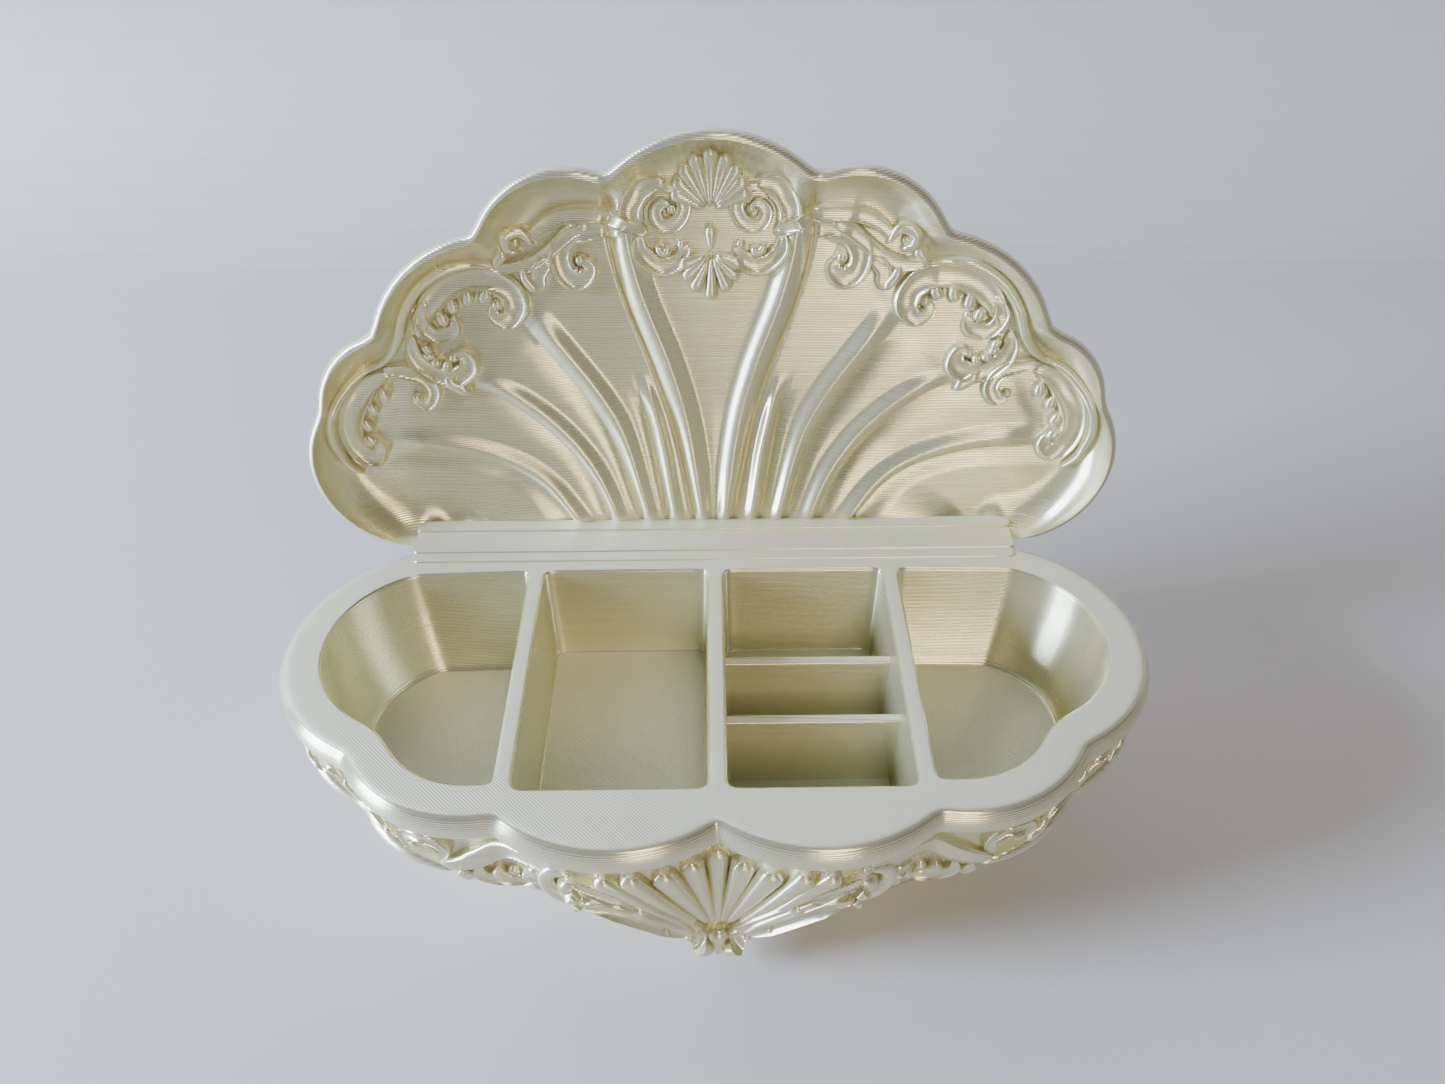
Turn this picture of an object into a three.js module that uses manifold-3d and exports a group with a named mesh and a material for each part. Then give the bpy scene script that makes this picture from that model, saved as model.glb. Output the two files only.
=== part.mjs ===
// Scallop-shell jewellery box, printed in one piece with its lid fixed open.
// Millimetres, +Z up. The front faces -Y and the shell lid stands at the back.
import * as THREE from 'three'
import * as BufferGeometryUtils from 'three/addons/utils/BufferGeometryUtils.js'
import Module from 'manifold-3d'

const wasm = await Module()
wasm.setup()

// Overall sizes
const lobeCentreX = 49.8          // centre of each big side lobe
const lobeCentreY = -28.4
const lobeRadius = 25.7
const neckHalfWidth = 58.5        // half the width of the joint between base and lid
const neckBack = 6.5              // the base reaches this far behind the rim plane of the lid
const baseHeight = 42             // underside to deck

// Base
const frontNotchDepth = 66.1      // centre notch, measured forward of the neck
const frontLobeRise = 6.6
const innerNotch = [34.5, 64.7]
const innerLobeRise = 5.2
const outerNotch = [60.2, 52.2]
const rimBead = 2.2               // how far the rounded rim stands out past the deck
const footHalfWidth = 54
const footHalfDepth = 27
const footCentreY = -31
// the apron under the front rim: half width at each depth below the deck
const apronDepth = [[24, 6], [23, 16], [14, 19.5], [8.5, 25], [4.5, 31.5], [1.5, 37.5]]
const apronBack = -48

// Compartments
const wellDepth = 21.5
const rimWidth = 5.5              // deck width around the rounded wells
const wellTaper = 4
const wellBack = -9
const wellFront = -61
const dividerX = [-34.4, 0.2, 33.9]
const dividerTop = 3.2
const dividerFoot = 4.4
const crossDividerY = [-27.6, -41.8]
const crossDividerThickness = 2
const crossDividerDrop = 6        // tops of the low dividers below the deck

// Lid
const lidLean = THREE.MathUtils.degToRad(5.7)
const lidHeight = 78.2             // apex of the front edge, above the deck along the lean
const lidNotches = [[17.5, 70.6], [40, 61], [60, 43], [72, 28.5]]
const lidNeck = [neckHalfWidth + 0.7, -0.6]
const lidLobeRises = [5.6, 4.4, 3.4, 9.8]
const notchSoftness = 1.6         // the notches are eased over this length
const rimStep = 0.5
const rimOut = 1.3                // the rounded edge stands out this far past the front edge
const rimFade = 6                 // and draws in again over this length at the neck
const lidEdge = 3.6
const lidWall = 2.6
const bowlDepth = 8
const lipDepth = 5.8              // depth of the panel where it meets the lip
const lipHeight = 1
const lipReach = 3.4              // the lip stands this far in front of the panel
const coveWidth = 7               // hollow wall from the front edge down to the panel
const lidRoot = 4                 // the lid is sunk this deep into the deck

// Ridges of the lid: the crease on the outer side of each one runs through these points
const ridgeLines = [
  [[3.7, lipHeight], [7.1, 20], [11, 34.1], [15.6, 47.8], [17.8, 59], [17.6, 70.8]],
  [[9.1, lipHeight], [13.3, 26.2], [19, 48], [27, 72]],
  [[14.2, lipHeight], [18.9, 17], [24.3, 27.7], [34.7, 43], [45.5, 59]],
  [[20.6, lipHeight], [23.9, 9.8], [30, 18.4], [38, 26], [46.4, 30.6], [69.5, 36.5]],
  [[28.1, lipHeight], [34.2, 8.6], [41.7, 13], [51.4, 15.7], [63.6, 16.8], [76, 17]]
]
const ridgeHeight = 2.1
const ridgeReach = [1, 0.4, 0.72, 0.63, 0.76] // each ridge dies out at this share of its line
const bandWidths = [1.8, 3.2]     // the steep side of a ridge, at the lip and far up
const fallWidth = 3.2             // the short slope on the other side of its crest
const pillowShare = 0.38          // height of the flute behind that slope, as a share of the ridge

// Neck: two low steps cross the joint in front of the lid
// three low steps before the lip: reach past half the neck, front, back, height above the deck
const neckSteps = [[1.2, 2.4, 5.7, 1], [0.9, -3.7, 3.3, 0.6], [0.4, -6.2, 0.7, 0.3]]
const neckStepRoot = 3.3
const neckCorner = 1.6

// Relief
const reliefSink = 0.96
const reliefRise = 1.7
const reliefStep = 5.5            // length of one facet along a stroke

const arc = (from, to, rise, steps) => {
  const [x0, y0] = from
  const [x1, y1] = to
  const chord = Math.hypot(x1 - x0, y1 - y0)
  const radius = (chord * chord / 4 + rise * rise) / (2 * rise)
  const side = [(y0 - y1) / chord, (x1 - x0) / chord]
  const centre = [(x0 + x1) / 2 + side[0] * (rise - radius), (y0 + y1) / 2 + side[1] * (rise - radius)]
  const start = Math.atan2(y0 - centre[1], x0 - centre[0])
  let sweep = Math.atan2(y1 - centre[1], x1 - centre[0]) - start
  sweep -= 2 * Math.PI * Math.round(sweep / (2 * Math.PI))
  if (Math.abs(rise) > chord / 2) {
    sweep -= Math.sign(sweep) * 2 * Math.PI
  }
  const reach = Math.abs(radius)
  const points = []
  for (let i = 0; i <= steps; i += 1) {
    const angle = start + sweep * i / steps
    points.push([centre[0] + reach * Math.cos(angle), centre[1] + reach * Math.sin(angle)])
  }
  return points
}

const mix = (a, b, share) => a + (b - a) * share
const mixPoint = (a, b, share) => a.map((value, i) => mix(value, b[i], share))
const smooth = (value) => {
  const v = Math.min(Math.max(value, 0), 1)
  return v * v * (3 - 2 * v)
}

// Closed mesh through rings of points that all have the same count, with flat caps
const loft = (rings) => {
  const count = rings[0].length
  const positions = rings.flat().flatMap((point) => [point.x, point.y, point.z])
  const index = []
  for (let r = 0; r + 1 < rings.length; r += 1) {
    for (let i = 0; i < count; i += 1) {
      const next = (i + 1) % count
      const a = r * count + i
      const b = r * count + next
      index.push(a, b, a + count, b, b + count, a + count)
    }
  }
  // A cap fans out from its middle where the whole edge is in sight of it, and is cut into ears elsewhere
  const cap = (ring, offset, flip) => {
    const normal = new THREE.Vector3()
    ring.forEach((point, i) => normal.add(new THREE.Vector3().crossVectors(point, ring[(i + 1) % count])))
    normal.normalize()
    const middle = ring.reduce((sum, point) => sum.add(point), new THREE.Vector3()).divideScalar(count)
    const inSight = ring.every((point, i) => {
      const a = new THREE.Vector3().subVectors(point, middle)
      const b = new THREE.Vector3().subVectors(ring[(i + 1) % count], middle)
      return a.cross(b).dot(normal) > 1e-6
    })
    const faces = []
    if (inSight) {
      const centre = positions.length / 3
      positions.push(middle.x, middle.y, middle.z)
      ring.forEach((_, i) => faces.push([i + offset, (i + 1) % count + offset, centre]))
    } else {
      const across = new THREE.Vector3().subVectors(ring[1], ring[0])
      across.addScaledVector(normal, -across.dot(normal)).normalize()
      const up = new THREE.Vector3().crossVectors(normal, across)
      const flat = ring.map((point) => new THREE.Vector2(point.dot(across), point.dot(up)))
      const ears = THREE.ShapeUtils.triangulateShape(flat, [])
      ears.forEach((ear) => faces.push(ear.map((i) => i + offset)))
    }
    faces.forEach(([a, b, c]) => index.push(...(flip ? [a, c, b] : [a, b, c])))
  }
  cap(rings[0], 0, true)
  cap(rings[rings.length - 1], (rings.length - 1) * count, false)
  const geometry = new THREE.BufferGeometry()
  geometry.setAttribute('position', new THREE.Float32BufferAttribute(positions, 3))
  geometry.setIndex(index)
  return geometry
}

const toSolid = (geometry) => {
  const bare = geometry.clone()
  bare.deleteAttribute('normal')
  bare.deleteAttribute('uv')
  const merged = BufferGeometryUtils.mergeVertices(bare, 1e-5)
  const vertProperties = new Float32Array(merged.attributes.position.array)
  const triVerts = new Uint32Array(merged.index.array)
  const solid = new wasm.Manifold(new wasm.Mesh({ numProp: 3, vertProperties, triVerts }))
  if (solid.volume() > 0) {
    return solid
  }
  const turned = triVerts.slice()
  for (let i = 0; i < turned.length; i += 3) {
    turned[i + 1] = triVerts[i + 2]
    turned[i + 2] = triVerts[i + 1]
  }
  return new wasm.Manifold(new wasm.Mesh({ numProp: 3, vertProperties, triVerts: turned }))
}

const toGeometry = (solid) => {
  const mesh = solid.getMesh()
  const geometry = new THREE.BufferGeometry()
  const positions = new Float32Array(mesh.numVert * 3)
  for (let i = 0; i < mesh.numVert; i += 1) {
    for (let k = 0; k < 3; k += 1) {
      positions[i * 3 + k] = mesh.vertProperties[i * mesh.numProp + k]
    }
  }
  geometry.setAttribute('position', new THREE.BufferAttribute(positions, 3))
  geometry.setIndex(new THREE.BufferAttribute(new Uint32Array(mesh.triVerts), 1))
  return geometry
}

const block = (x0, x1, y0, y1, z0, z1) => {
  const box = new THREE.BoxGeometry(x1 - x0, y1 - y0, z1 - z0)
  box.translate((x0 + x1) / 2, (y0 + y1) / 2, (z0 + z1) / 2)
  return toSolid(box)
}

// Deck outline in plan, from the centre notch round the right side to the back and home again
const deckOutline = () => {
  const neckFront = [neckHalfWidth, lobeCentreY + Math.sqrt(lobeRadius ** 2 - (neckHalfWidth - lobeCentreX) ** 2)]
  const chord = Math.hypot(neckFront[0] - outerNotch[0], neckFront[1] + outerNotch[1])
  const sideRise = lobeRadius - Math.sqrt(Math.max(lobeRadius ** 2 - chord ** 2 / 4, 0))
  const half = [
    ...arc([0, -frontNotchDepth], [innerNotch[0], -innerNotch[1]], -frontLobeRise, 8).slice(0, -1),
    ...arc([innerNotch[0], -innerNotch[1]], [outerNotch[0], -outerNotch[1]], -innerLobeRise, 5).slice(0, -1),
    ...arc([outerNotch[0], -outerNotch[1]], neckFront, -sideRise, 12),
    [neckHalfWidth - 1, 0],
    [neckHalfWidth, neckBack * 0.6],
    [neckHalfWidth - 1.5, neckBack],
    [neckHalfWidth / 2, neckBack]
  ]
  const other = half.slice(1).reverse().map(([x, y]) => [-x, y])
  return [...half, [0, neckBack], ...other]
}

const outwardNormals = (outline) => {
  const count = outline.length
  let normals = outline.map((point, i) => {
    const before = outline[(i + count - 1) % count]
    const after = outline[(i + 1) % count]
    const length = Math.hypot(after[0] - before[0], after[1] - before[1])
    return [(after[1] - before[1]) / length, (before[0] - after[0]) / length]
  })
  for (let pass = 0; pass < 2; pass += 1) {
    normals = normals.map((normal, i) => {
      const before = normals[(i + count - 1) % count]
      const after = normals[(i + 1) % count]
      return [0, 1].map((k) => normal[k] * 0.5 + (before[k] + after[k]) * 0.25)
    })
  }
  return normals
}

const deck = deckOutline()
const deckNormals = outwardNormals(deck)
const ringAt = (z, outset, towardFoot = 0) => deck.map(([x, y], i) => {
  const bearing = Math.atan2((y - footCentreY) / footHalfDepth, x / footHalfWidth)
  const foot = [footHalfWidth * Math.cos(bearing), footCentreY + footHalfDepth * Math.sin(bearing)]
  const edge = [x + deckNormals[i][0] * outset, y + deckNormals[i][1] * outset]
  const [px, py] = mixPoint(edge, foot, towardFoot)
  return new THREE.Vector3(px, py, z)
})

const baseBody = () => toSolid(loft([
  ringAt(0, 0, 1),
  ringAt(1.2, 1, 0.98),
  ringAt(5, 0, 0.88),
  ringAt(12, 0, 0.63),
  ringAt(20, 0, 0.3),
  ringAt(27, 0, 0.06),
  ringAt(baseHeight - 7, -0.3, 0.02),
  ringAt(baseHeight - 5.8, 0.5),
  ringAt(baseHeight - 4.6, rimBead * 0.85),
  ringAt(baseHeight - 2.6, rimBead),
  ringAt(baseHeight - 0.9, rimBead * 0.7),
  ringAt(baseHeight, 0)
]))

// The apron carries the fan in the middle of the front and narrows toward the foot
const frontAt = (x) => {
  const ahead = deck.filter(([, y]) => y < lobeCentreY)
  const left = ahead.filter((point) => point[0] <= x).sort((a, b) => b[0] - a[0])[0]
  const right = ahead.filter((point) => point[0] > x).sort((a, b) => a[0] - b[0])[0]
  return mix(left[1], right[1], (x - left[0]) / (right[0] - left[0]))
}

const apron = () => toSolid(loft(apronDepth.map(([half, drop]) => {
  const shares = [-1, -0.66, -0.33, 0, 0.33, 0.66, 1]
  const front = shares.map((share) => new THREE.Vector3(half * share, frontAt(half * share), baseHeight - drop))
  const back = [1, -1].map((share) => new THREE.Vector3(half * share, apronBack, baseHeight - drop))
  return [...front, ...back]
})))

const neck = () => neckSteps
  .map(([past, front, back, height]) => {
    const half = neckHalfWidth + past
    const corner = [[neckCorner, 0], [neckCorner * 0.3, neckCorner * 0.3], [0, neckCorner]]
    const plan = [
      [-half, back],
      ...corner.toReversed().map(([x, y]) => [x - half, front + y]),
      ...corner.map(([x, y]) => [half - x, front + y]),
      [half, back]
    ]
    const ring = (z) => plan.map(([x, y]) => new THREE.Vector3(x, y, z))
    return toSolid(loft([ring(baseHeight - neckStepRoot), ring(baseHeight + height)]))
  })
  .reduce((all, step) => all.add(step))

// The wells are one hollow inside the rim, parted by the walls that stay standing in it
const wells = () => {
  const floor = baseHeight - wellDepth
  const wellRing = (z, inset) => ringAt(z, -inset).filter((_, i) => deck[i][1] < wellBack / 2)
  let hollow = toSolid(loft([
    wellRing(floor, rimWidth + wellTaper),
    wellRing(floor + 1.6, rimWidth + wellTaper * 0.55),
    wellRing(floor + 7, rimWidth + wellTaper * 0.25),
    wellRing(baseHeight, rimWidth),
    wellRing(baseHeight + 1, rimWidth)
  ]))
  const past = lobeCentreX + lobeRadius
  const taper = (dividerFoot - dividerTop) / 2
  const slab = (half, extra, place) => {
    const ring = (z, reach) => [[-reach, -past], [reach, -past], [reach, past], [-reach, past]]
      .map(([x, y]) => place(x, y, z))
    return toSolid(loft([ring(floor - 1, half + extra), ring(baseHeight + 2, half)]))
  }
  for (const x of dividerX) {
    hollow = hollow.subtract(slab(dividerTop / 2, taper, (a, b, z) => new THREE.Vector3(x + a, b, z)))
  }
  const thick = frontNotchDepth
  hollow = hollow.subtract(slab(thick / 2, taper, (a, b, z) => new THREE.Vector3(b, wellFront - thick / 2 + a, z)))
  hollow = hollow.subtract(slab(thick / 2, taper, (a, b, z) => new THREE.Vector3(b, wellBack + thick / 2 + a, z)))
  const low = [dividerX[1], dividerX[2]]
  for (const y of crossDividerY) {
    const halfWall = crossDividerThickness / 2
    hollow = hollow.subtract(block(...low, y - halfWall, y + halfWall, floor - 1, baseHeight - crossDividerDrop))
  }
  return hollow
}

// The lid has its own frame: u across, v up its lean, w toward the viewer from the rim plane
const lidPoint = (u, v, w) => new THREE.Vector3(
  u,
  v * Math.sin(lidLean) - w * Math.cos(lidLean),
  baseHeight + v * Math.cos(lidLean) + w * Math.sin(lidLean)
)

// Front edge of the lid from the apex down its right side to the neck, in even steps with soft notches
const lengthOf = (a, b) => Math.hypot(b[0] - a[0], b[1] - a[1])
const rimEdge = (() => {
  const [first] = lidNotches
  const corners = [...lidNotches, lidNeck]
  const top = arc([-first[0], first[1]], first, lidHeight - first[1], 80).slice(40)
  const rest = lidLobeRises.flatMap((rise, i) => arc(corners[i], corners[i + 1], rise, 60).slice(1))
  const drawn = [...top, ...rest]
  const even = [drawn[0]]
  drawn.forEach((point) => {
    while (lengthOf(even[even.length - 1], point) > rimStep) {
      const last = even[even.length - 1]
      even.push(mixPoint(last, point, rimStep / lengthOf(last, point)))
    }
  })
  even.push(lidNeck)
  let eased = even
  for (let pass = 0; pass < 2 * (notchSoftness / rimStep) ** 2; pass += 1) {
    eased = eased.map((point, i) => (
      i === 0 || i === eased.length - 1 ? point : mixPoint(mixPoint(eased[i - 1], eased[i + 1], 0.5), point, 0.5)
    ))
  }
  return eased
})()
const nearestOnRim = (spot) => rimEdge.reduce((best, point, i) => (
  lengthOf(point, spot) < lengthOf(rimEdge[best], spot) ? i : best
), 0)
const rimDistance = (spot) => {
  const i = nearestOnRim(spot)
  const sides = [rimEdge[Math.max(i - 1, 0)], rimEdge[Math.min(i + 1, rimEdge.length - 1)]]
  return Math.min(...sides.map((other) => {
    const span = [0, 1].map((k) => other[k] - rimEdge[i][k])
    const size = span[0] ** 2 + span[1] ** 2
    const reach = span[0] * (spot[0] - rimEdge[i][0]) + span[1] * (spot[1] - rimEdge[i][1])
    const share = size > 0 ? Math.min(Math.max(reach / size, 0), 1) : 0
    return lengthOf(spot, mixPoint(rimEdge[i], other, share))
  }))
}
const rimAt = (where) => {
  const i = Math.min(Math.floor(where), rimEdge.length - 2)
  const [a, b] = [rimEdge[i], rimEdge[i + 1]]
  const reach = rimOut * smooth((rimEdge.length - 1 - where) * rimStep / rimFade) / lengthOf(a, b)
  return { spot: mixPoint(a, b, where - i), out: [(a[1] - b[1]) * reach, (b[0] - a[0]) * reach] }
}

// Each flute of the half lid lies between two such lines, from the middle of the lid to the neck
const lines = [
  [[0, lipHeight], [0, lidHeight / 2], [0, lidHeight]],
  ...ridgeLines,
  [[neckHalfWidth - 4.5, -lidRoot / 2], [neckHalfWidth - 2, -lidRoot / 5], lidNeck]
].map((points) => {
  const tip = nearestOnRim(points[points.length - 1])
  const path = [...points.slice(0, -1), rimEdge[tip]].map(([u, v]) => new THREE.Vector3(u, v, 0))
  const curve = new THREE.CatmullRomCurve3(path, false, 'centripetal')
  const at = (t) => {
    const point = curve.getPointAt(Math.min(t, 1))
    return [point.x, point.y]
  }
  return { tip, at }
})
const lobes = lines.length - 1

const lidSpot = (lobe, across, t) => {
  const [left, right] = [lines[lobe], lines[lobe + 1]]
  const inside = mixPoint(left.at(t), right.at(t), across)
  const rim = rimAt(mix(left.tip, right.tip, across)).spot
  const chord = mixPoint(rimEdge[left.tip], rimEdge[right.tip], across)
  return inside.map((value, k) => value + (rim[k] - chord[k]) * t ** 2.2)
}

// Across a flute: its floor, the short slope, the crest and the steep band down to the next crease
const stations = (lobe, t) => {
  const width = lengthOf(lines[lobe].at(t), lines[lobe + 1].at(t))
  const crest = 1 - Math.min(mix(...bandWidths, smooth(t / 0.5)) / width, 0.45)
  const fall = Math.min(fallWidth / width, crest * (lobe === 0 ? 0.9 : 0.55))
  return lobe === lobes - 1 ? [0, 1 / 3, 2 / 3, 1] : [0, crest - fall, crest, 1]
}

const fluteHeight = (lobe, share, t) => {
  const alive = (ridge) => (ridge < 0 ? 1 : 1 - smooth((t - ridgeReach[ridge] + 0.1) / 0.16))
  const pillow = ridgeHeight * pillowShare
  if (lobe === lobes - 1) {
    return pillow * smooth(share / 0.6)
  }
  const short = 1 - alive(1)
  const top = lobe === 1 ? mix(ridgeHeight, pillow, short) : mix(pillow * 0.6, ridgeHeight, alive(lobe))
  const inner = lobe === 2 ? pillow * short : 0
  const outer = lobe === 1 ? pillow * short : 0
  const floor = lobe === 0 ? ridgeHeight * 0.2 : Math.min(pillow, top)
  if (share <= 1) {
    const rise = lobe === 0 ? 1 : 1 - (1 - share) ** 2.4
    return mix(inner, floor, lobe === 2 ? Math.max(rise, short) : rise)
  }
  return share <= 2 ? mix(floor, top, smooth(share - 1)) : mix(top, outer, (share - 2) ** 1.5)
}

const shareSteps = [0.4, 1, 2, 3]
const endShares = [0.3, 0.7, 1.1, 1.5, 1.9, 2.3, 2.65, 3]
const innerSteps = [0, 0.14, 0.34, 0.56, 0.78]
const wallSteps = [0, 0.4, 0.72, 0.92, 1]
const backSteps = [0.75, 0.35, 0]

const columnProfile = (lobe, share) => {
  const place = (t) => {
    const marks = stations(lobe, t)
    const i = Math.min(Math.floor(share), 2)
    const across = mix(marks[i], marks[i + 1], share - i)
    const spot = lidSpot(lobe, across, t)
    return { across, spot, toRim: rimDistance(spot) }
  }
  const end = place(1)
  const edge = rimAt(mix(lines[lobe].tip, lines[lobe + 1].tip, end.across))
  const wallStart = 1 - Math.min(coveWidth / lengthOf(place(0).spot, end.spot), 0.6)
  const dish = (t) => mix(lipDepth, bowlDepth, smooth(t / wallStart / 0.4))
  const front = (t) => {
    const { spot, toRim } = place(t)
    const cove = (1 - (1 - Math.min(toRim / coveWidth, 1)) ** 2.2) ** 0.7
    return { spot, w: -(dish(t) - fluteHeight(lobe, share, t) * smooth(t / 0.06 + 0.3)) * cove }
  }
  const outside = (share, w) => ({ spot: edge.spot.map((value, k) => value + edge.out[k] * share), w })
  const back = (t, lobed) => {
    const { spot, toRim, across } = place(t)
    const turn = (1 - (1 - Math.min(toRim / coveWidth / 1.2, 1)) ** 2) ** 0.6
    const swell = Math.sin(Math.PI * across) * ridgeHeight * 0.7 * lobed
    return { spot, w: -mix(lidEdge, dish(t) + lidWall + swell, turn) }
  }
  return [
    ...innerSteps.map((step) => front(step * wallStart)),
    ...wallSteps.map((step) => front(mix(wallStart, 1, step))),
    outside(0.75, -0.6),
    outside(1, -lidEdge * 0.5),
    outside(0.4, -lidEdge),
    ...backSteps.map((step) => back(mix(wallStart, 1, step), 0.5)),
    ...[0.7, 0.42, 0.18, 0].map((step) => back(step * wallStart, smooth(step / 0.4)))
  ]
}

const lidShell = () => {
  const columns = [columnProfile(0, 0)]
  for (let lobe = 0; lobe < lobes; lobe += 1) {
    const shares = lobe === lobes - 1 ? endShares : shareSteps
    shares.forEach((share) => columns.push(columnProfile(lobe, share)))
  }
  const ring = (profile, side) => {
    const points = profile.map(({ spot, w }) => lidPoint(side * spot[0], spot[1], w))
    const last = profile[profile.length - 1]
    const [foot, lip] = profile[0].spot
    const lipFront = lipReach - lipDepth
    const root = (v, w) => lidPoint(side * foot, v, w)
    return [...points, root(-lidRoot, last.w), root(-lidRoot, lipFront), root(lip, lipFront)]
  }
  const leftRings = columns.slice(1).reverse().map((profile) => ring(profile, -1))
  const rightRings = columns.map((profile) => ring(profile, 1))
  return toSolid(loft([...leftRings, ...rightRings]))
}

// Relief strokes are tapering ridges that follow a curve over a surface
const stroke = (path, width, onto) => {
  const curve = new THREE.CatmullRomCurve3(path.map(([a, b]) => new THREE.Vector3(a, b, 0)), false, 'centripetal')
  const steps = Math.max(2, Math.round(curve.getLength() / reliefStep))
  const rings = []
  for (let i = 0; i <= steps; i += 1) {
    const share = i / steps
    const point = curve.getPointAt(share)
    const along = curve.getTangentAt(share)
    const half = width / 2 * Math.max(Math.sin(Math.PI * mix(0.1, 0.93, share)) ** 0.6, 0.25)
    const section = [[-1, 0], [-0.45, 1], [0.45, 1], [1, 0]]
    const foot = onto(point.x, point.y)
    rings.push(section.map(([side, top]) => {
      const lift = top > 0 ? reliefRise * mix(0.55, 1, half / (width / 2)) : -reliefSink
      return foot(-along.y * half * side, along.x * half * side, lift)
    }))
  }
  return toSolid(loft(rings))
}

const caster = new THREE.Raycaster()
const hitter = (solid) => {
  const target = new THREE.Mesh(toGeometry(solid), new THREE.MeshBasicMaterial({ side: THREE.DoubleSide }))
  return (from, direction) => {
    caster.set(from, direction)
    const hits = caster.intersectObject(target)
    return hits.length > 0 ? hits[0].point : null
  }
}

const lidFront = new THREE.Vector3(0, -Math.cos(lidLean), Math.sin(lidLean))
const ontoLid = (hit) => (u, v) => {
  const from = lidPoint(u, v, 20)
  const point = hit(from, lidFront.clone().negate())
  const w = point ? 20 - from.distanceTo(point) : -bowlDepth
  return (du, dv, lift) => lidPoint(u + du, v + dv, w + lift)
}

const ontoFront = (hit) => (x, z) => {
  const point = hit(new THREE.Vector3(x, -200, z), new THREE.Vector3(0, 1, 0))
  const y = point ? point.y : lobeCentreY
  return (dx, dz, lift) => new THREE.Vector3(x + dx, y - lift, z + dz)
}

const mirrored = (path) => path.map(([a, b]) => [-a, b])

// A fan of ribs from one root, between two angles from the upright
const fan = (root, count, angles, reaches, width) => {
  const ribs = []
  for (let i = 0; i < count; i += 1) {
    const share = count > 1 ? i / (count - 1) : 0
    const angle = THREE.MathUtils.degToRad(mix(...angles, share))
    const reach = mix(...reaches, share)
    const way = [Math.sin(angle), Math.cos(angle)]
    ribs.push([[0.15, 0.6, 1].map((step) => root.map((value, k) => value + way[k] * reach * step)), width])
  }
  return ribs
}

// Lid ornament, right half: [path in u and v, width]
const lidStrokes = [
  ...fan([0, 64.8], 3, [20, 62], [9.3, 7.2], 2.5),
  [[[8.4, 69.4], [11.8, 67.8], [13.6, 64.6], [12.6, 61.2], [9.8, 60]], 3.6],
  [[[8.4, 68.8], [5.4, 67.3], [4.6, 64.6], [6.2, 62.2], [8.8, 62.4], [9.2, 65]], 2.8],
  [[[11.6, 59.6], [11.4, 56.8], [8.6, 55], [5.6, 56], [4, 58.6]], 3],
  ...fan([0, 56], 2, [152, 116], [6.2, 5.6], 2.4),
  [[[11.4, 60.4], [15.8, 62.7], [20.6, 63.8], [25.5, 63.5], [29.6, 61.8], [32.4, 59.4]], 2.6],
  [[[33.2, 60.6], [35.6, 59.6], [35, 57.4], [32.4, 58]], 2.2],
  [[[16, 61], [20.4, 61.2], [24.6, 59.6], [26.4, 56.4], [25.8, 53.4], [23, 52.4], [21.8, 55]], 4],
  [[[22, 61.6], [26.4, 58.8], [30, 56], [34, 54.4], [38.8, 54.4]], 2.6],
  [[[28.6, 56.2], [30.6, 53], [30.6, 50]], 2.8],
  [[[39.2, 48], [39.8, 45.4], [36.6, 44.4], [35.2, 48], [37.4, 51.2], [42, 52.3], [47, 51], [51, 47.8], [53.6, 43]], 4.6],
  [[[40, 54.4], [46, 54], [51.4, 51.4], [55, 47], [57, 41.8], [60, 37], [63.4, 34.4]], 2],
  [[[51.8, 47.2], [51.8, 43.6], [49, 42.2], [46.8, 44]], 2.8],
  [[[55, 41.6], [55, 37], [52.2, 33.8], [48, 33.2], [45.6, 35.6], [47.4, 37.8]], 3.8],
  [[[50, 33], [48, 31.2], [46.2, 30]], 2.2],
  [[[61.6, 34.2], [57.6, 33.8], [54, 32.2], [53.4, 29], [56, 27.6]], 3],
  [[[60.6, 34], [65.4, 31], [68.6, 26.6], [69.8, 21.6], [68.4, 16.8], [65, 16.4], [65, 19.6]], 4.6],
  [[[61.6, 36], [67, 32.6], [71, 27.6], [72.4, 21.6], [71, 15.4]], 1.8]
]
const lidCentreStrokes = [
  [[[0, 75], [0, 70], [0, 65]], 2.8],
  [[[0, 61.4], [0, 59], [0, 56.6]], 3],
  [[[0, 55.6], [0, 52], [0, 48.6]], 2.4]
]

// Front ornament of the base, right half, as heights below the deck
const frontStrokes = [
  [[[4.4, -8], [2.9, -15], [0.8, -27]], 3],
  [[[9, -9], [6.3, -13.4], [2, -26.6]], 3],
  [[[14.4, -7.6], [11.4, -11.6], [4, -24.4]], 2.6],
  [[[22.4, -8.1], [17.6, -10.4], [11.6, -15.4], [6.6, -21.6], [2.6, -28.6]], 2.6],
  [[[22, -16], [16.6, -17.4], [11.8, -20.6], [8, -24.8], [4.4, -28.9]], 4],
  [[[7, -26.4], [5.2, -30], [3, -32.4], [1, -35.4]], 2.8],
  [[[24.3, -8.3], [26.2, -10.6], [25.8, -14], [22.4, -15.6]], 3.4],
  [[[45.4, -14.6], [39.6, -12.4], [34, -9.2], [28.4, -7.3], [23, -6.9]], 3.4],
  [[[30.8, -11.6], [28.4, -12.4], [27, -15.2]], 3],
  [[[37.4, -14.4], [37.2, -18], [34.8, -20.4], [32, -18.2]], 3.4],
  [[[42.6, -14.8], [49, -14.6], [56, -14], [63, -13], [69, -11.2], [73, -9.4]], 2.8],
  [[[47, -8], [44, -10.6], [40.6, -13.4]], 3],
  [[[56.4, -8], [52.8, -8.6], [51.4, -11.6], [54, -13]], 2.8],
  [[[66.6, -8.2], [62.4, -8.8], [60.4, -11.4], [62.8, -12.6]], 2.8]
]
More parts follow.
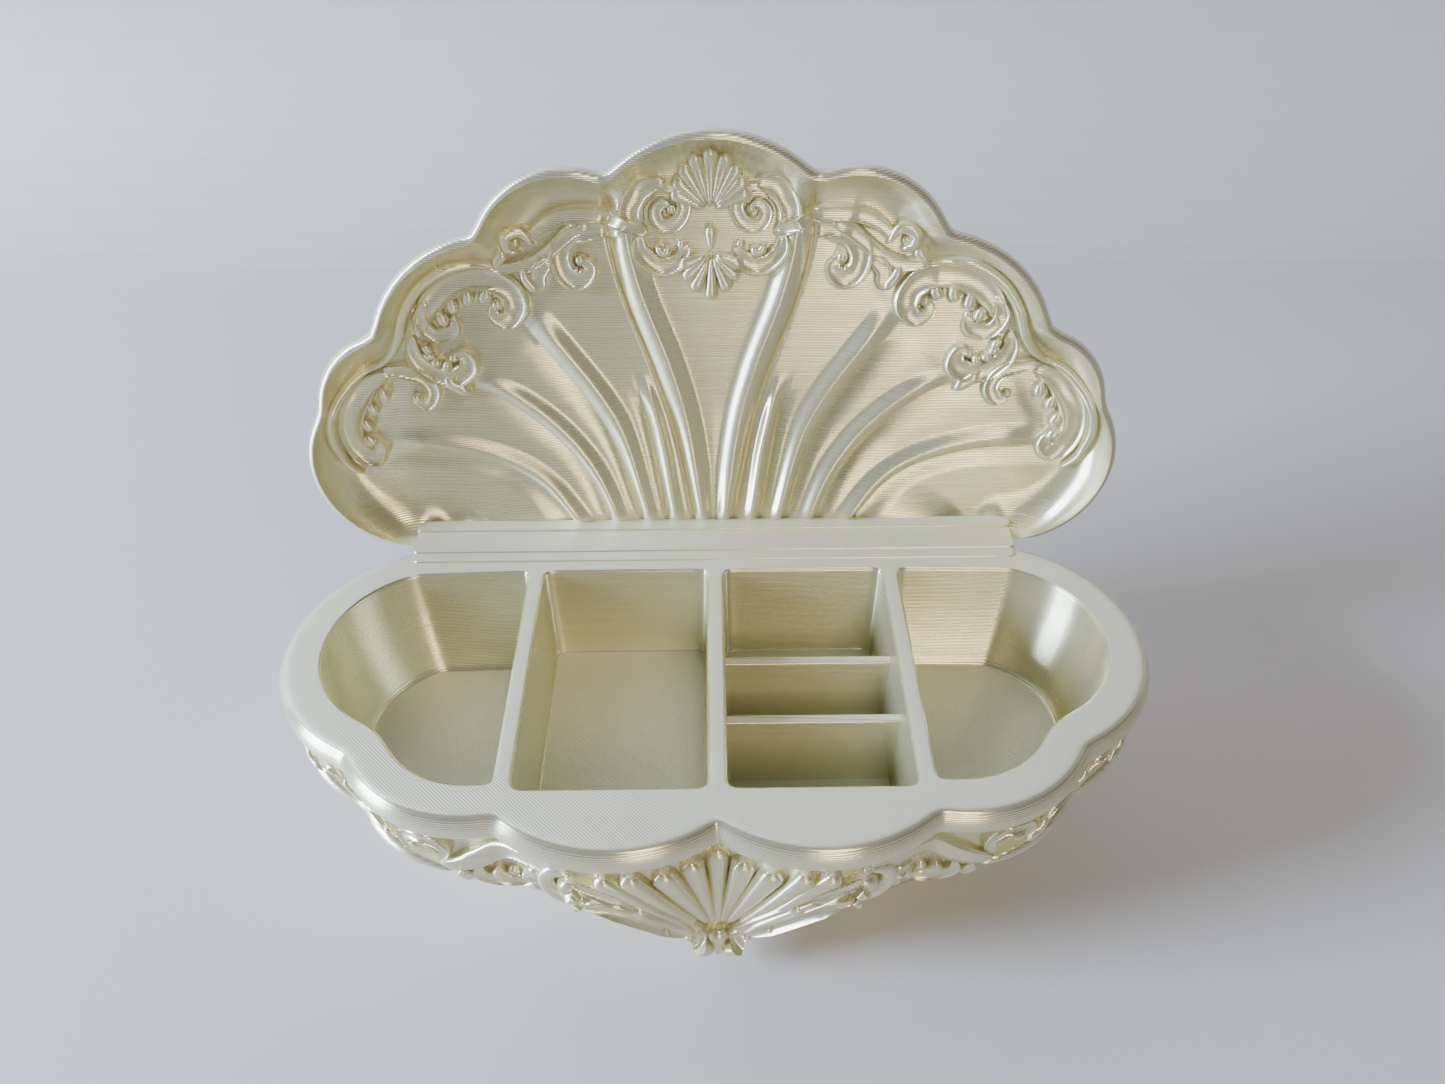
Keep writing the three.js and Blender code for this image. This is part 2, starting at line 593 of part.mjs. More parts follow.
const frontCentreStrokes = [
  [[[0, -7.8], [0, -16], [0, -28]], 3.2],
  [[[0, -29.6], [0, -31.6], [0, -33.6]], 3.2],
  [[[0, -33.4], [0, -35.4], [0, -37.4]], 2.6]
]

const addStrokes = (solid, sided, centred, onto) => {
  let result = solid
  for (const [path, width] of centred) {
    result = result.add(stroke(path, width, onto))
  }
  for (const [path, width] of sided) {
    result = result.add(stroke(path, width, onto))
    result = result.add(stroke(mirrored(path), width, onto))
  }
  return result
}

const belowDeck = ([path, width]) => [path.map(([x, drop]) => [x, baseHeight + drop]), width]

const shellBox = () => {
  const body = baseBody().add(apron()).add(neck())
  const lid = lidShell()
  const carvedBase = addStrokes(
    body,
    frontStrokes.map(belowDeck),
    frontCentreStrokes.map(belowDeck),
    ontoFront(hitter(body))
  ).subtract(wells())
  const carvedLid = addStrokes(lid, lidStrokes, lidCentreStrokes, ontoLid(hitter(lid)))
  return toGeometry(carvedBase.add(carvedLid))
}

const pearl = new THREE.MeshStandardMaterial({ color: '#ece8d6', roughness: 0.35, metalness: 0.1 })
const box = new THREE.Mesh(shellBox(), pearl)
box.name = 'shell_box'
box.geometry.computeBoundingBox()
const { min, max } = box.geometry.boundingBox
box.position.set(0, -(min.y + max.y) / 2, 0)

const model = new THREE.Group()
model.add(box)

export default model
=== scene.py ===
# %% [markdown]
# # A pearl shell box
# The real box is one 3D print in silk PLA, a plastic with a pearly gloss: a scallop base with open
# wells, and a shell lid that stands behind it. The first lines load the solid model, which gives every
# piece its true place. All the meshes made below stay close to that model.

# %% Load the solid model
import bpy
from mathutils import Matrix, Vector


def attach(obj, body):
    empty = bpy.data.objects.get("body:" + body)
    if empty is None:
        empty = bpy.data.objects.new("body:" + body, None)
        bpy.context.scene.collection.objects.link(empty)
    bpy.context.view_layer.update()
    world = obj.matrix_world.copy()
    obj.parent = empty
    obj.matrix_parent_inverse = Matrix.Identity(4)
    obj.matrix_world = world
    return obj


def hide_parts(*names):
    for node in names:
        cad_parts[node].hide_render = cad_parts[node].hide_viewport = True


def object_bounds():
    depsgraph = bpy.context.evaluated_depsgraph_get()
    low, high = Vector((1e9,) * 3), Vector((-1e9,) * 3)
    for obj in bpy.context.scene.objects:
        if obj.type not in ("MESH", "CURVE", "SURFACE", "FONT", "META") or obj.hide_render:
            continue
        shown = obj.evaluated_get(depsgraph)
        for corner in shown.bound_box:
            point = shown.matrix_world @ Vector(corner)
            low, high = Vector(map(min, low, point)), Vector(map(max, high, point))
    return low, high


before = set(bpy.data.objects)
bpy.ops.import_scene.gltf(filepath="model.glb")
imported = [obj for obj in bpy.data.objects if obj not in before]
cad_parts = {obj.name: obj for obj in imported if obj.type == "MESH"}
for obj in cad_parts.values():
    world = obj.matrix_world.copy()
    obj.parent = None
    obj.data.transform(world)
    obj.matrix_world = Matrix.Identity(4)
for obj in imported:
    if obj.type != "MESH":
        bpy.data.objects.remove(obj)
cad_low, cad_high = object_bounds()
print("solid model, mm:", [round(1000 * (b - a), 1) for a, b in zip(cad_low, cad_high)])

# %% [markdown]
# Blender's own modules do the modelling. bmesh shapes the meshes and mathutils holds vectors and
# turns. The two trees are for searching: one finds the nearest point of a curve, the other tells where
# a ray meets a surface.

# %% Modules
import math

import bmesh
import bpy
from mathutils import Matrix, Vector
from mathutils.bvhtree import BVHTree
from mathutils.kdtree import KDTree

print("Blender", bpy.app.version_string)

# %% [markdown]
# Shapes are worked out in millimetres in the box's own frame: x across, y back from the rim plane of
# the lid, z up from the underside. The lid leans back a little, so it has a frame of its own: u across,
# v up along the lid, w out of its rim plane toward the front. Two functions turn these into Blender's
# metres. Everything hangs on the solid model's box, so nothing has to be fitted by eye.

# %% Frame and sizes
MM = 0.001
FRONT_REACH = 74.16
DECK = 42.0
LEAN = math.radians(5.7)
hinge_y = cad_low.y / MM + FRONT_REACH


def place(x, y, z):
    return Vector((x, y + hinge_y, z)) * MM


def lid_place(u, v, w):
    y = v * math.sin(LEAN) - w * math.cos(LEAN)
    z = DECK + v * math.cos(LEAN) + w * math.sin(LEAN)
    return place(u, y, z)


print("rim plane of the lid at y =", round(hinge_y, 2), "mm")

# %% [markdown]
# Small number helpers are used all over. A mix goes straight from one value to another, and a soft
# step starts and ends gently, which keeps carved shapes free of kinks.

# %% Mixes
def mix(a, b, share):
    return a + (b - a) * share


def mix_point(a, b, share):
    return tuple(mix(p, q, share) for p, q in zip(a, b))


def soft_step(value):
    v = min(max(value, 0.0), 1.0)
    return v * v * (3 - 2 * v)


print("soft step at a quarter:", soft_step(0.25))

# %% [markdown]
# A scallop outline is nothing but arcs set end to end. An arc could be drawn from its centre and
# radius, but on the real box only the two ends and the rise of a lobe can be measured, so those are
# what this function takes.

# %% Arcs
def arc(start, end, rise, steps):
    (x0, y0), (x1, y1) = start, end
    chord = math.hypot(x1 - x0, y1 - y0)
    radius = (chord * chord / 4 + rise * rise) / (2 * rise)
    side = ((y0 - y1) / chord, (x1 - x0) / chord)
    cx = (x0 + x1) / 2 + side[0] * (rise - radius)
    cy = (y0 + y1) / 2 + side[1] * (rise - radius)
    first = math.atan2(y0 - cy, x0 - cx)
    sweep = math.atan2(y1 - cy, x1 - cx) - first
    sweep -= 2 * math.pi * round(sweep / (2 * math.pi))
    reach = abs(radius)
    angles = [first + sweep * i / steps for i in range(steps + 1)]
    return [(cx + reach * math.cos(a), cy + reach * math.sin(a)) for a in angles]


print("top of a 20 mm arc that rises 4 mm:", [round(value, 2) for value in arc((0, 0), (20, 0), 4, 2)[1]])

# %% [markdown]
# Carved curves are drawn through a few points, the way a curve object runs through its handles. Such
# a list could be made a curve object and then a mesh. The same rounding takes only a few lines, and
# it works for rows of any values, so heights and widths can be smoothed with it too.

# %% Spline through points
SPLINE_STEPS = 12


def spline(points):
    knots = [points[0]] + list(points) + [points[-1]]
    fine = []
    for p0, p1, p2, p3 in zip(knots, knots[1:], knots[2:], knots[3:]):
        for i in range(SPLINE_STEPS):
            t = i / SPLINE_STEPS
            fine.append(tuple(
                0.5 * (2 * b + (c - a) * t + (2 * a - 5 * b + 4 * c - d) * t * t
                       + (3 * b - a - 3 * c + d) * t ** 3)
                for a, b, c, d in zip(p0, p1, p2, p3)
            ))
    return fine + [tuple(points[-1])]


print("a spline through three points:", len(spline([(0, 0), (10, 4), (20, 0)])), "fine points")

# %% [markdown]
# The fine points are then spread in even steps along the curve, so a loft that follows it gets faces
# of one length. A closed outline uses the same function, with its first point put once more at the
# end.

# %% Even steps along a curve
LEAST_STEPS = 6


def spread(points, count):
    lengths = [0.0]
    for a, b in zip(points, points[1:]):
        lengths.append(lengths[-1] + math.dist(a, b))
    result = []
    segment = 0
    for i in range(count + 1):
        target = lengths[-1] * i / count
        while segment < len(points) - 2 and lengths[segment + 1] < target:
            segment += 1
        span = lengths[segment + 1] - lengths[segment]
        share = (target - lengths[segment]) / span if span else 0.0
        result.append(mix_point(points[segment], points[segment + 1], share))
    return result


def smooth_path(points, step):
    fine = spline(points)
    total = sum(math.dist(a, b) for a, b in zip(fine, fine[1:]))
    return spread(fine, max(round(total / step), LEAST_STEPS))


def along(path, share):
    where = min(max(share, 0.0), 1.0) * (len(path) - 1)
    i = min(int(where), len(path) - 2)
    return mix_point(path[i], path[i + 1], where - i)


print("a bend of three points in 1 mm steps:", len(smooth_path([(0, 0), (10, 4), (20, 0)], 1.0)), "points")

# %% [markdown]
# A loft is a flat grid whose every row is laid on a ring of points. Its two long edges meet and are
# merged, and the open ends are filled, so the piece is one closed body. In the editor this is a tube
# of edge loops, each one moved and scaled by hand. Here the rings are worked out, because a shell has
# hundreds of them. The edges of an open end are gathered in a dict, not in a set: a set has no fixed
# order, and then the end would be filled a little differently on each run.

# %% Loft a closed body through rings
SEAM = 1e-7


def loft(mesh, rings):
    count = len(rings[0])
    grid = bmesh.ops.create_grid(mesh, x_segments=count, y_segments=len(rings) - 1, size=1)["verts"]
    for index, vert in enumerate(grid):
        row, column = divmod(index, count + 1)
        vert.co = rings[row][column % count]
    ends = [grid[:count], grid[-count - 1:-1]]
    seam = grid[::count + 1] + grid[count::count + 1]
    bmesh.ops.remove_doubles(mesh, verts=seam, dist=SEAM)
    for end in ends:
        loop = [v for v in end if v.is_valid]
        edges = dict.fromkeys(e for v in loop for e in v.link_edges if e.is_boundary)
        made = bmesh.ops.edgeloop_fill(mesh, edges=list(edges))["faces"]
        bmesh.ops.triangulate(mesh, faces=made)


print("seams are merged within", SEAM, "m")

# %% [markdown]
# Two more steps come back for every mesh. Edges are rounded with the bevel operator, whose defaults
# differ from the editor's, so its settings are written once here. And a finished mesh gets its normals
# turned outward and becomes an object at the origin.

# %% Round edges and finish a mesh
def round_edges(mesh, edges, size, segments):
    bmesh.ops.bevel(
        mesh, geom=edges, offset=size, segments=segments, profile=0.5, affect="EDGES", material=-1)


def finish_mesh(mesh, name):
    bmesh.ops.recalc_face_normals(mesh, faces=mesh.faces)
    data = bpy.data.meshes.new(name)
    mesh.to_mesh(data)
    mesh.free()
    piece = bpy.data.objects.new(name, data)
    bpy.context.scene.collection.objects.link(piece)
    print(name + ":", len(data.polygons), "faces")
    return piece


# %% [markdown]
# The corners between the lobes are soft on the print. They could be rounded one by one, but easing
# each point toward its two neighbours a few times softens them all alike. The outward direction at
# each point is then used to move the whole outline in or out.

# %% Soft corners
def eased(points, passes):
    count = len(points)
    for _ in range(passes):
        rows = [(points[i], points[i - 1], points[(i + 1) % count]) for i in range(count)]
        points = [tuple(p * 0.5 + (a + b) * 0.25 for p, a, b in zip(*row)) for row in rows]
    return points


def outward(points):
    count = len(points)
    normals = []
    for i in range(count):
        (x0, y0), (x1, y1) = points[i - 1], points[(i + 1) % count]
        length = math.dist((x0, y0), (x1, y1))
        normals.append(((y1 - y0) / length, (x0 - x1) / length))
    return eased(normals, 4)


print("a corner eased once:", eased([(0, 0), (4, 0), (4, 4), (0, 4)], 1)[0])

# %% [markdown]
# The deck is the flat top of the base, around the wells. Its outline is drawn in plan from arcs: two
# shallow lobes at the front on each side, one big round lobe at each end, and the neck at the back. Only
# the right half is drawn, and the left one mirrors it.

# %% Deck outline
LOBE_CENTRE = (49.8, -28.4)
LOBE_RADIUS = 25.7
NECK_HALF = 58.5
NECK_BACK = 6.5
FRONT_NOTCH = (0.0, -66.1)
INNER_NOTCH = (34.5, -64.7)
OUTER_NOTCH = (60.2, -52.2)
INNER_RISE = 6.6
OUTER_RISE = 5.2
OUTLINE_STEPS = 480
OUTLINE_EASE = 6


def deck_outline():
    neck_side = LOBE_CENTRE[1] + math.sqrt(LOBE_RADIUS ** 2 - (NECK_HALF - LOBE_CENTRE[0]) ** 2)
    neck = (NECK_HALF, neck_side)
    chord = math.dist(OUTER_NOTCH, neck)
    side_rise = LOBE_RADIUS - math.sqrt(LOBE_RADIUS ** 2 - chord ** 2 / 4)
    half = arc(FRONT_NOTCH, INNER_NOTCH, -INNER_RISE, 40)[:-1]
    half += arc(INNER_NOTCH, OUTER_NOTCH, -OUTER_RISE, 30)[:-1]
    half += arc(OUTER_NOTCH, neck, -side_rise, 70)
    half += [(NECK_HALF - 1, 0), (NECK_HALF, NECK_BACK * 0.6), (NECK_HALF - 1.5, NECK_BACK)]
    closed = half + [(0, NECK_BACK)] + [(-x, y) for x, y in reversed(half)]
    return eased(spread(closed, OUTLINE_STEPS)[:-1], OUTLINE_EASE)


deck = deck_outline()
deck_out = outward(deck)
print("deck outline:", len(deck), "points, half width", round(max(x for x, _ in deck), 1), "mm")

# %% [markdown]
# Below the deck the lobes draw in fast toward a plain oval foot, like the underside of a real shell. A
# ring at any height is the deck outline moved out or in, then mixed with the point of the oval that
# lies in the same direction. One function so gives the whole body.

# %% Rings of the base
FOOT_HALF_WIDTH = 54.0
FOOT_HALF_DEPTH = 27.0
FOOT_CENTRE = -31.0


def deck_ring(z, outset, toward_foot=0.0):
    ring = []
    for (x, y), (nx, ny) in zip(deck, deck_out):
        bearing = math.atan2((y - FOOT_CENTRE) / FOOT_HALF_DEPTH, x / FOOT_HALF_WIDTH)
        foot = (FOOT_HALF_WIDTH * math.cos(bearing), FOOT_CENTRE + FOOT_HALF_DEPTH * math.sin(bearing))
        edge = (x + nx * outset, y + ny * outset)
        px, py = mix_point(edge, foot, toward_foot)
        ring.append(place(px, py, z))
    return ring


print("foot oval:", 2 * FOOT_HALF_WIDTH, "by", 2 * FOOT_HALF_DEPTH, "mm")

# %% [markdown]
# The base is a loft of such rings. FOOT_SHARE says how far each height has moved toward the foot. At
# the top a rounded bead stands out past the wall, drawn as half a turn from its lower edge to the
# deck. A bevel could round the rim too, but it couldn't make the bead overhang.

# %% Base body
FOOT_SHARE = [(0.4, 0.99), (5, 0.88), (12, 0.63), (20, 0.3), (27, 0.06), (34.6, 0.02)]
FOOT_STEP = 1.2
WALL_INSET = 0.3
DECK_INSET = 0.6
BEAD_OUT = 2.3
BEAD_DROP = 5.8
BEAD_STEPS = 14


def base_rings():
    rings = [deck_ring(0, -DECK_INSET, 1.0)]
    rings += [deck_ring(z, -WALL_INSET, share) for z, share in smooth_path(FOOT_SHARE, FOOT_STEP)]
    for i in range(BEAD_STEPS + 1):
        turn = math.pi * (1 - i / BEAD_STEPS)
        out = -0.1 + BEAD_OUT * math.sin(turn) ** 0.85
        rings.append(deck_ring(DECK - BEAD_DROP / 2 * (1 - math.cos(turn)), out))
    rings.append(deck_ring(DECK, -DECK_INSET))
    return rings


base_mesh = bmesh.new()
loft(base_mesh, base_rings())
base = finish_mesh(base_mesh, "shell_base")

# %% [markdown]
# In the middle of the front an apron hangs under the rim and carries the fan. It is a loft from top to
# bottom. Its front follows the deck outline, so the carving on it bends with the lobes. Each row of
# APRON gives half the width, the drop below the deck and the y of its back.

# %% Apron
APRON = [(24, 6, -62.5), (23, 16, -62.5), (14, 19.5, -62.5), (10, 22.6, -62),
         (8.5, 25, -50), (4.5, 31.5, -50), (1.5, 37.5, -50)]
APRON_STEP = 1.5
front_half = sorted((x, y) for x, y in deck if y < LOBE_CENTRE[1])


def front_at(x):
    index = max(i for i, point in enumerate(front_half) if point[0] <= x)
    (x0, y0), (x1, y1) = front_half[index], front_half[index + 1]
    return mix(y0, y1, (x - x0) / (x1 - x0))


def apron_ring(half, drop, back):
    shares = [i / 20 - 1 for i in range(41)]
    front = [place(half * s, front_at(half * s), DECK - drop) for s in shares]
    return front + [place(half * s, back, DECK - drop) for s in (1, 0, -1)]


apron_mesh = bmesh.new()
loft(apron_mesh, [apron_ring(*row) for row in smooth_path(APRON, APRON_STEP)])
apron = finish_mesh(apron_mesh, "shell_apron")

# %% [markdown]
# Four wells are open to the top. Each is the space between a plan, the deck and a floor, so it is made
# as a solid plug first. The plug is a loft: a fillet at the floor, walls that lean out, and a mouth
# that widens a little, because the edge of each opening is rounded on the print. The walls are drawn
# in by scaling about a pivot, which keeps the plan free of folds in its tight corners.

# %% Well plug
WELL_STEPS = 240
MOUTH_ROUND = 0.7
MOUTH_PAST = 1.5
FILLET_STEPS = 5
MOUTH_STEPS = 4
WALL_SHARES = (0.15, 0.3, 0.5, 0.75)


def well_rings(plan, pivot, depth, taper, floor_round):
    plan = eased(spread(plan + plan[:1], WELL_STEPS)[:-1], OUTLINE_EASE)
    normals = outward(plan)
    reach = [max(abs(point[k] - pivot[k]) for point in plan) for k in (0, 1)]

    def ring(z, inset):
        scale = [1 - inset / reach[k] for k in (0, 1)]
        return [place(*(pivot[k] + (point[k] - pivot[k]) * scale[k] for k in (0, 1)), z) for point in plan]

    def mouth(z, outset):
        return [place(x + nx * outset, y + ny * outset, z) for (x, y), (nx, ny) in zip(plan, normals)]

    floor = DECK - depth
    rings = []
    for i in range(FILLET_STEPS + 1):
        turn = math.pi / 2 * i / FILLET_STEPS
        rise, inset = floor_round * (1 - math.cos(turn)), floor_round * (1 - math.sin(turn))
        rings.append(ring(floor + rise, taper + inset))
    for share in WALL_SHARES:
        z = mix(floor + floor_round, DECK - MOUTH_ROUND, share)
        rings.append(ring(z, taper * (1 - share) ** 1.6))
    for i in range(MOUTH_STEPS + 1):
        turn = math.pi / 2 * i / MOUTH_STEPS
        rings.append(mouth(DECK - MOUTH_ROUND * (1 - math.sin(turn)), MOUTH_ROUND * (1 - math.cos(turn))))
    return rings + [mouth(DECK + MOUTH_PAST, MOUTH_ROUND)]


print("a plug has", FILLET_STEPS + len(WALL_SHARES) + MOUTH_STEPS + 3, "rings of", WELL_STEPS, "points")

# %% [markdown]
# The two middle wells are plain oblongs. The two round wells follow the rim, so their plan is the deck
# outline moved inward by the width of the rim and cut straight at the front, at the back and along the
# divider.

# %% Well plans
RIM_WIDTH = 5.5
WELL_BACK = -9.0
WELL_FRONT = -61.0


def oblong(x0, x1, y0, y1):
    return [(x0, y0), (x1, y0), (x1, y1), (x0, y1)]


def round_well_plan(side, near):
    plan = []
    for (x, y), (nx, ny) in zip(deck, deck_out):
        px, py = x - nx * RIM_WIDTH, y - ny * RIM_WIDTH
        if (px - near) * side > 0 and py < WELL_BACK:
            plan.append((px, max(py, WELL_FRONT)))
    gap = max(range(len(plan)), key=lambda i: math.dist(plan[i - 1], plan[i]))
    plan = plan[gap:] + plan[:gap]
    back_corner, front_corner = (near, WELL_BACK), (near, WELL_FRONT + 1)
    if side < 0:
        return [back_corner] + plan + [front_corner]
    return [front_corner] + plan + [back_corner]


print("wells reach from y =", WELL_FRONT, "to", WELL_BACK, "mm")

# %% [markdown]
# The Boolean modifier takes a plug out of the base. It is applied at once and the plug is removed, so
# the base stays a plain mesh. The Manifold solver is used: it is made for closed bodies like these, and
# the Exact solver failed on the round wells.

# %% Cut with a plug
def cut(target, rings):
    mesh = bmesh.new()
    loft(mesh, rings)
    cutter = finish_mesh(mesh, "well_cutter")
    change = target.modifiers.new("well", "BOOLEAN")
    change.operation = "DIFFERENCE"
    change.solver = "MANIFOLD"
    change.object = cutter
    graph = bpy.context.evaluated_depsgraph_get()
    cut_mesh = bpy.data.meshes.new_from_object(target.evaluated_get(graph))
    target.modifiers.clear()
    target.data = cut_mesh
    bpy.data.objects.remove(cutter)


print("base before the cuts:", len(base.data.polygons), "faces")

# %% [markdown]
# All four wells have one depth. The round ones taper toward their floor and have a soft fillet there,
# like small bowls, and the oblong ones stand almost upright. What is left between them are the three
# dividers, so their places are the only ones given.

# %% Cut the wells
WELL_DEPTH = 21.5
ROUND_TAPER, ROUND_FLOOR = 4.0, 2.0
OBLONG_TAPER, OBLONG_FLOOR = 0.5, 0.4
DIVIDERS = (-34.4, 0.2, 33.9)
DIVIDER_HALF = 1.6
ring_side = (DIVIDERS[1] + DIVIDER_HALF, DIVIDERS[2] - DIVIDER_HALF)
middle = (DIVIDERS[0] + DIVIDER_HALF, DIVIDERS[1] - DIVIDER_HALF)
middle_y = (WELL_FRONT + WELL_BACK) / 2
for side in (-1, 1):
    near = DIVIDERS[0] - DIVIDER_HALF if side < 0 else DIVIDERS[2] + DIVIDER_HALF
    plan = round_well_plan(side, near)
    cut(base, well_rings(plan, (near, middle_y), WELL_DEPTH, ROUND_TAPER, ROUND_FLOOR))
for near, far in (middle, ring_side):
    plan = oblong(near, far, WELL_FRONT, WELL_BACK)
    cut(base, well_rings(plan, ((near + far) / 2, middle_y), WELL_DEPTH, OBLONG_TAPER, OBLONG_FLOOR))
print("base with wells:", len(base.data.polygons), "faces")

# %% [markdown]
# The low walls and the steps of the neck are plain blocks. Each is a cube stretched to size. Its
# upright corners and then its top edges get a bevel, because a printed edge is never quite sharp, and
# a sharp one would catch no light.

# %% Blocks with soft edges
def add_block(mesh, x_span, y_span, z_span, corner, edge):
    made = bmesh.ops.create_cube(mesh, size=1)["verts"]
    for vert in made:
        share = vert.co + Vector((0.5, 0.5, 0.5))
        vert.co = place(mix(*x_span, share.x), mix(*y_span, share.y), mix(*z_span, share.z))
    sides = dict.fromkeys(e for v in made for e in v.link_edges)
    upright = [e for e in sides if abs(e.verts[0].co.z - e.verts[1].co.z) > MM]
    round_edges(mesh, upright, corner * MM, 6)
    level = [e for e in mesh.edges if all(abs(v.co.z - z_span[1] * MM) < 1e-6 for v in e.verts)]
    round_edges(mesh, [e for e in level if e.calc_face_angle() > 1], edge * MM, 3)


print("bevels: 6 segments at a corner, 3 along a top edge")

# %% [markdown]
# Two low walls stand across the ring well and reach a little into the dividers, so no gap shows. Three
# flat steps cross the neck in front of the lid, the tallest at the back. They are given from half the
# width of the neck, so they keep their place when it changes. Each row of NECK_STEPS says how far a
# step reaches past it, its front, its back and its height above the deck.

# %% Cross dividers and neck steps
CROSS_DIVIDERS = (-27.6, -41.8)
CROSS_HALF = 1.0
CROSS_DROP = 6.0
CROSS_SUNK = 0.8
NECK_ROOT = 3.3
NECK_CORNER = 1.3
NECK_STEPS = [(1.2, 2.4, 5.7, 1.0), (0.9, -3.7, 3.3, 0.6), (0.4, -6.2, 0.7, 0.3)]

walls_mesh = bmesh.new()
across = (ring_side[0] - CROSS_SUNK, ring_side[1] + CROSS_SUNK)
for y in CROSS_DIVIDERS:
    upright = (DECK - WELL_DEPTH - 1, DECK - CROSS_DROP)
    add_block(walls_mesh, across, (y - CROSS_HALF, y + CROSS_HALF), upright, 0.2, 0.3)
for past, front, back, height in NECK_STEPS:
    half = NECK_HALF + past
    add_block(walls_mesh, (-half, half), (front, back), (DECK - NECK_ROOT, DECK + height), NECK_CORNER, 0.2)
walls = finish_mesh(walls_mesh, "shell_walls")

# %% [markdown]
# The lid is a scallop shell seen from its hollow side. Its rim is drawn from arcs between notches, as
# the deck is, with one lobe in the middle and four on each side. The notches are eased, since the
# print rounds them. Only the right half is drawn.

# %% Lid rim
LID_APEX = 78.2
NOTCHES = [(17.5, 70.6), (40.0, 61.0), (60.0, 43.0), (72.0, 28.5)]
LID_NECK = (NECK_HALF + 0.7, -0.6)
LOBE_RISES = (5.6, 4.4, 3.4, 9.8)
NOTCH_SOFTNESS = 1.6
RIM_STEP = 0.5


def lid_rim():
    (u, v) = NOTCHES[0]
    drawn = arc((-u, v), (u, v), LID_APEX - v, 160)[80:]
    for start, end, rise in zip(NOTCHES, NOTCHES[1:] + [LID_NECK], LOBE_RISES):
        drawn += arc(start, end, rise, 120)[1:]
    even = smooth_path(drawn[::3] + [LID_NECK], RIM_STEP)
    for _ in range(int(2 * (NOTCH_SOFTNESS / RIM_STEP) ** 2)):
        inner = [mix_point(mix_point(a, c, 0.5), b, 0.5) for a, b, c in zip(even, even[1:], even[2:])]
        even = even[:1] + inner + even[-1:]
    return even


rim_edge = lid_rim()
last_rim = len(rim_edge) - 1
print("lid rim:", len(rim_edge), "points on each side")

# %% [markdown]
# The flutes of the shell fan out from the lip, and two neighbours meet in a crease. The creases leave
# the lip almost upright and bend out toward the rim. They are what the eye follows, so the lid is
# built from them: each is a smooth path whose last point is moved to the nearest point of the rim. A
# KD tree finds that point, and later the distance of any spot from the rim.

# %% Creases
LIP_HEIGHT = 1.0
CREASE_STEP = 0.5
CREASES = [
    [(0.0, LIP_HEIGHT), (0.0, LID_APEX / 2), (0.0, LID_APEX)],
    [(3.7, LIP_HEIGHT), (7.1, 20), (11, 34.1), (15.6, 47.8), (17.8, 59), (17.6, 70.8)],
    [(9.1, LIP_HEIGHT), (13.3, 26.2), (19, 48), (27, 72)],
    [(14.2, LIP_HEIGHT), (18.9, 17), (24.3, 27.7), (34.7, 43), (45.5, 59)],
    [(20.6, LIP_HEIGHT), (23.9, 9.8), (30, 18.4), (38, 26), (46.4, 30.6), (69.5, 36.5)],
    [(28.1, LIP_HEIGHT), (34.2, 8.6), (41.7, 13), (51.4, 15.7), (63.6, 16.8), (76, 17)],
    [(54.0, -2.0), (56.5, -0.8), LID_NECK],
]
LAST_LOBE = len(CREASES) - 2

rim_tree = KDTree(len(rim_edge))
for index, (u, v) in enumerate(rim_edge):
    rim_tree.insert((u, v, 0), index)
rim_tree.balance()
crease_tips = [rim_tree.find((*points[-1], 0))[1] for points in CREASES]
crease_ends = [points[:-1] + [rim_edge[tip]] for points, tip in zip(CREASES, crease_tips)]
crease_lines = [smooth_path(points, CREASE_STEP) for points in crease_ends]
print("creases:", len(crease_lines), "on each side, the middle one shared")

# %% [markdown]
# Every spot of the lid lies in one lobe, so many shares across it, and so far up from the lip (t from
# 0 to 1). Between two creases the spots are mixed straight, and toward the rim they swell out to
# follow its arc.

# %% Spots on the lid
def rim_distance(spot):
    _, i, _ = rim_tree.find((*spot, 0))
    nearest = []
    for j in (max(i - 1, 0), min(i + 1, last_rim)):
        span = Vector(rim_edge[j]) - Vector(rim_edge[i])
        share = (Vector(spot) - Vector(rim_edge[i])).dot(span) / max(span.length_squared, 1e-9)
        nearest.append(math.dist(spot, mix_point(rim_edge[i], rim_edge[j], min(max(share, 0), 1))))
    return min(nearest)


def lid_spot(lobe, across, t):
    inside = mix_point(along(crease_lines[lobe], t), along(crease_lines[lobe + 1], t), across)
    start, end = crease_tips[lobe], crease_tips[lobe + 1]
    rim = along(rim_edge, mix(start, end, across) / last_rim)
    chord = mix_point(rim_edge[start], rim_edge[end], across)
    return tuple(inside[k] + (rim[k] - chord[k]) * t ** 2.2 for k in (0, 1))


print("half way up the flute beside the middle one:", [round(value, 1) for value in lid_spot(1, 0.5, 0.5)])

# %% [markdown]
# Across a flute the surface has a floor, a short slope up to a soft crest and a steep band down to the
# next crease. On the left half the bands face the window and shine as thin lines, and on the right
# half the gentler slopes do. That is what draws the fan. Ridges between flutes end at different
# heights, as on the real lid, and each one fades out there.

# %% Flute section
RIDGE_HEIGHT = 2.1
RIDGE_REACH = (1.0, 0.4, 0.72, 0.63, 0.76)
BAND_WIDTHS = (1.8, 3.2)
FALL_WIDTH = 3.2
PILLOW = RIDGE_HEIGHT * 0.38


def stations(lobe, t):
    if lobe == LAST_LOBE:
        return (0, 1 / 3, 2 / 3, 1)
    width = math.dist(along(crease_lines[lobe], t), along(crease_lines[lobe + 1], t))
    crest = 1 - min(mix(*BAND_WIDTHS, soft_step(t / 0.5)) / width, 0.45)
    fall = min(FALL_WIDTH / width, crest * (0.9 if lobe == 0 else 0.55))
    return (0, crest - fall, crest, 1)


def alive(ridge, t):
    return 1 - soft_step((t - RIDGE_REACH[ridge] + 0.1) / 0.16)


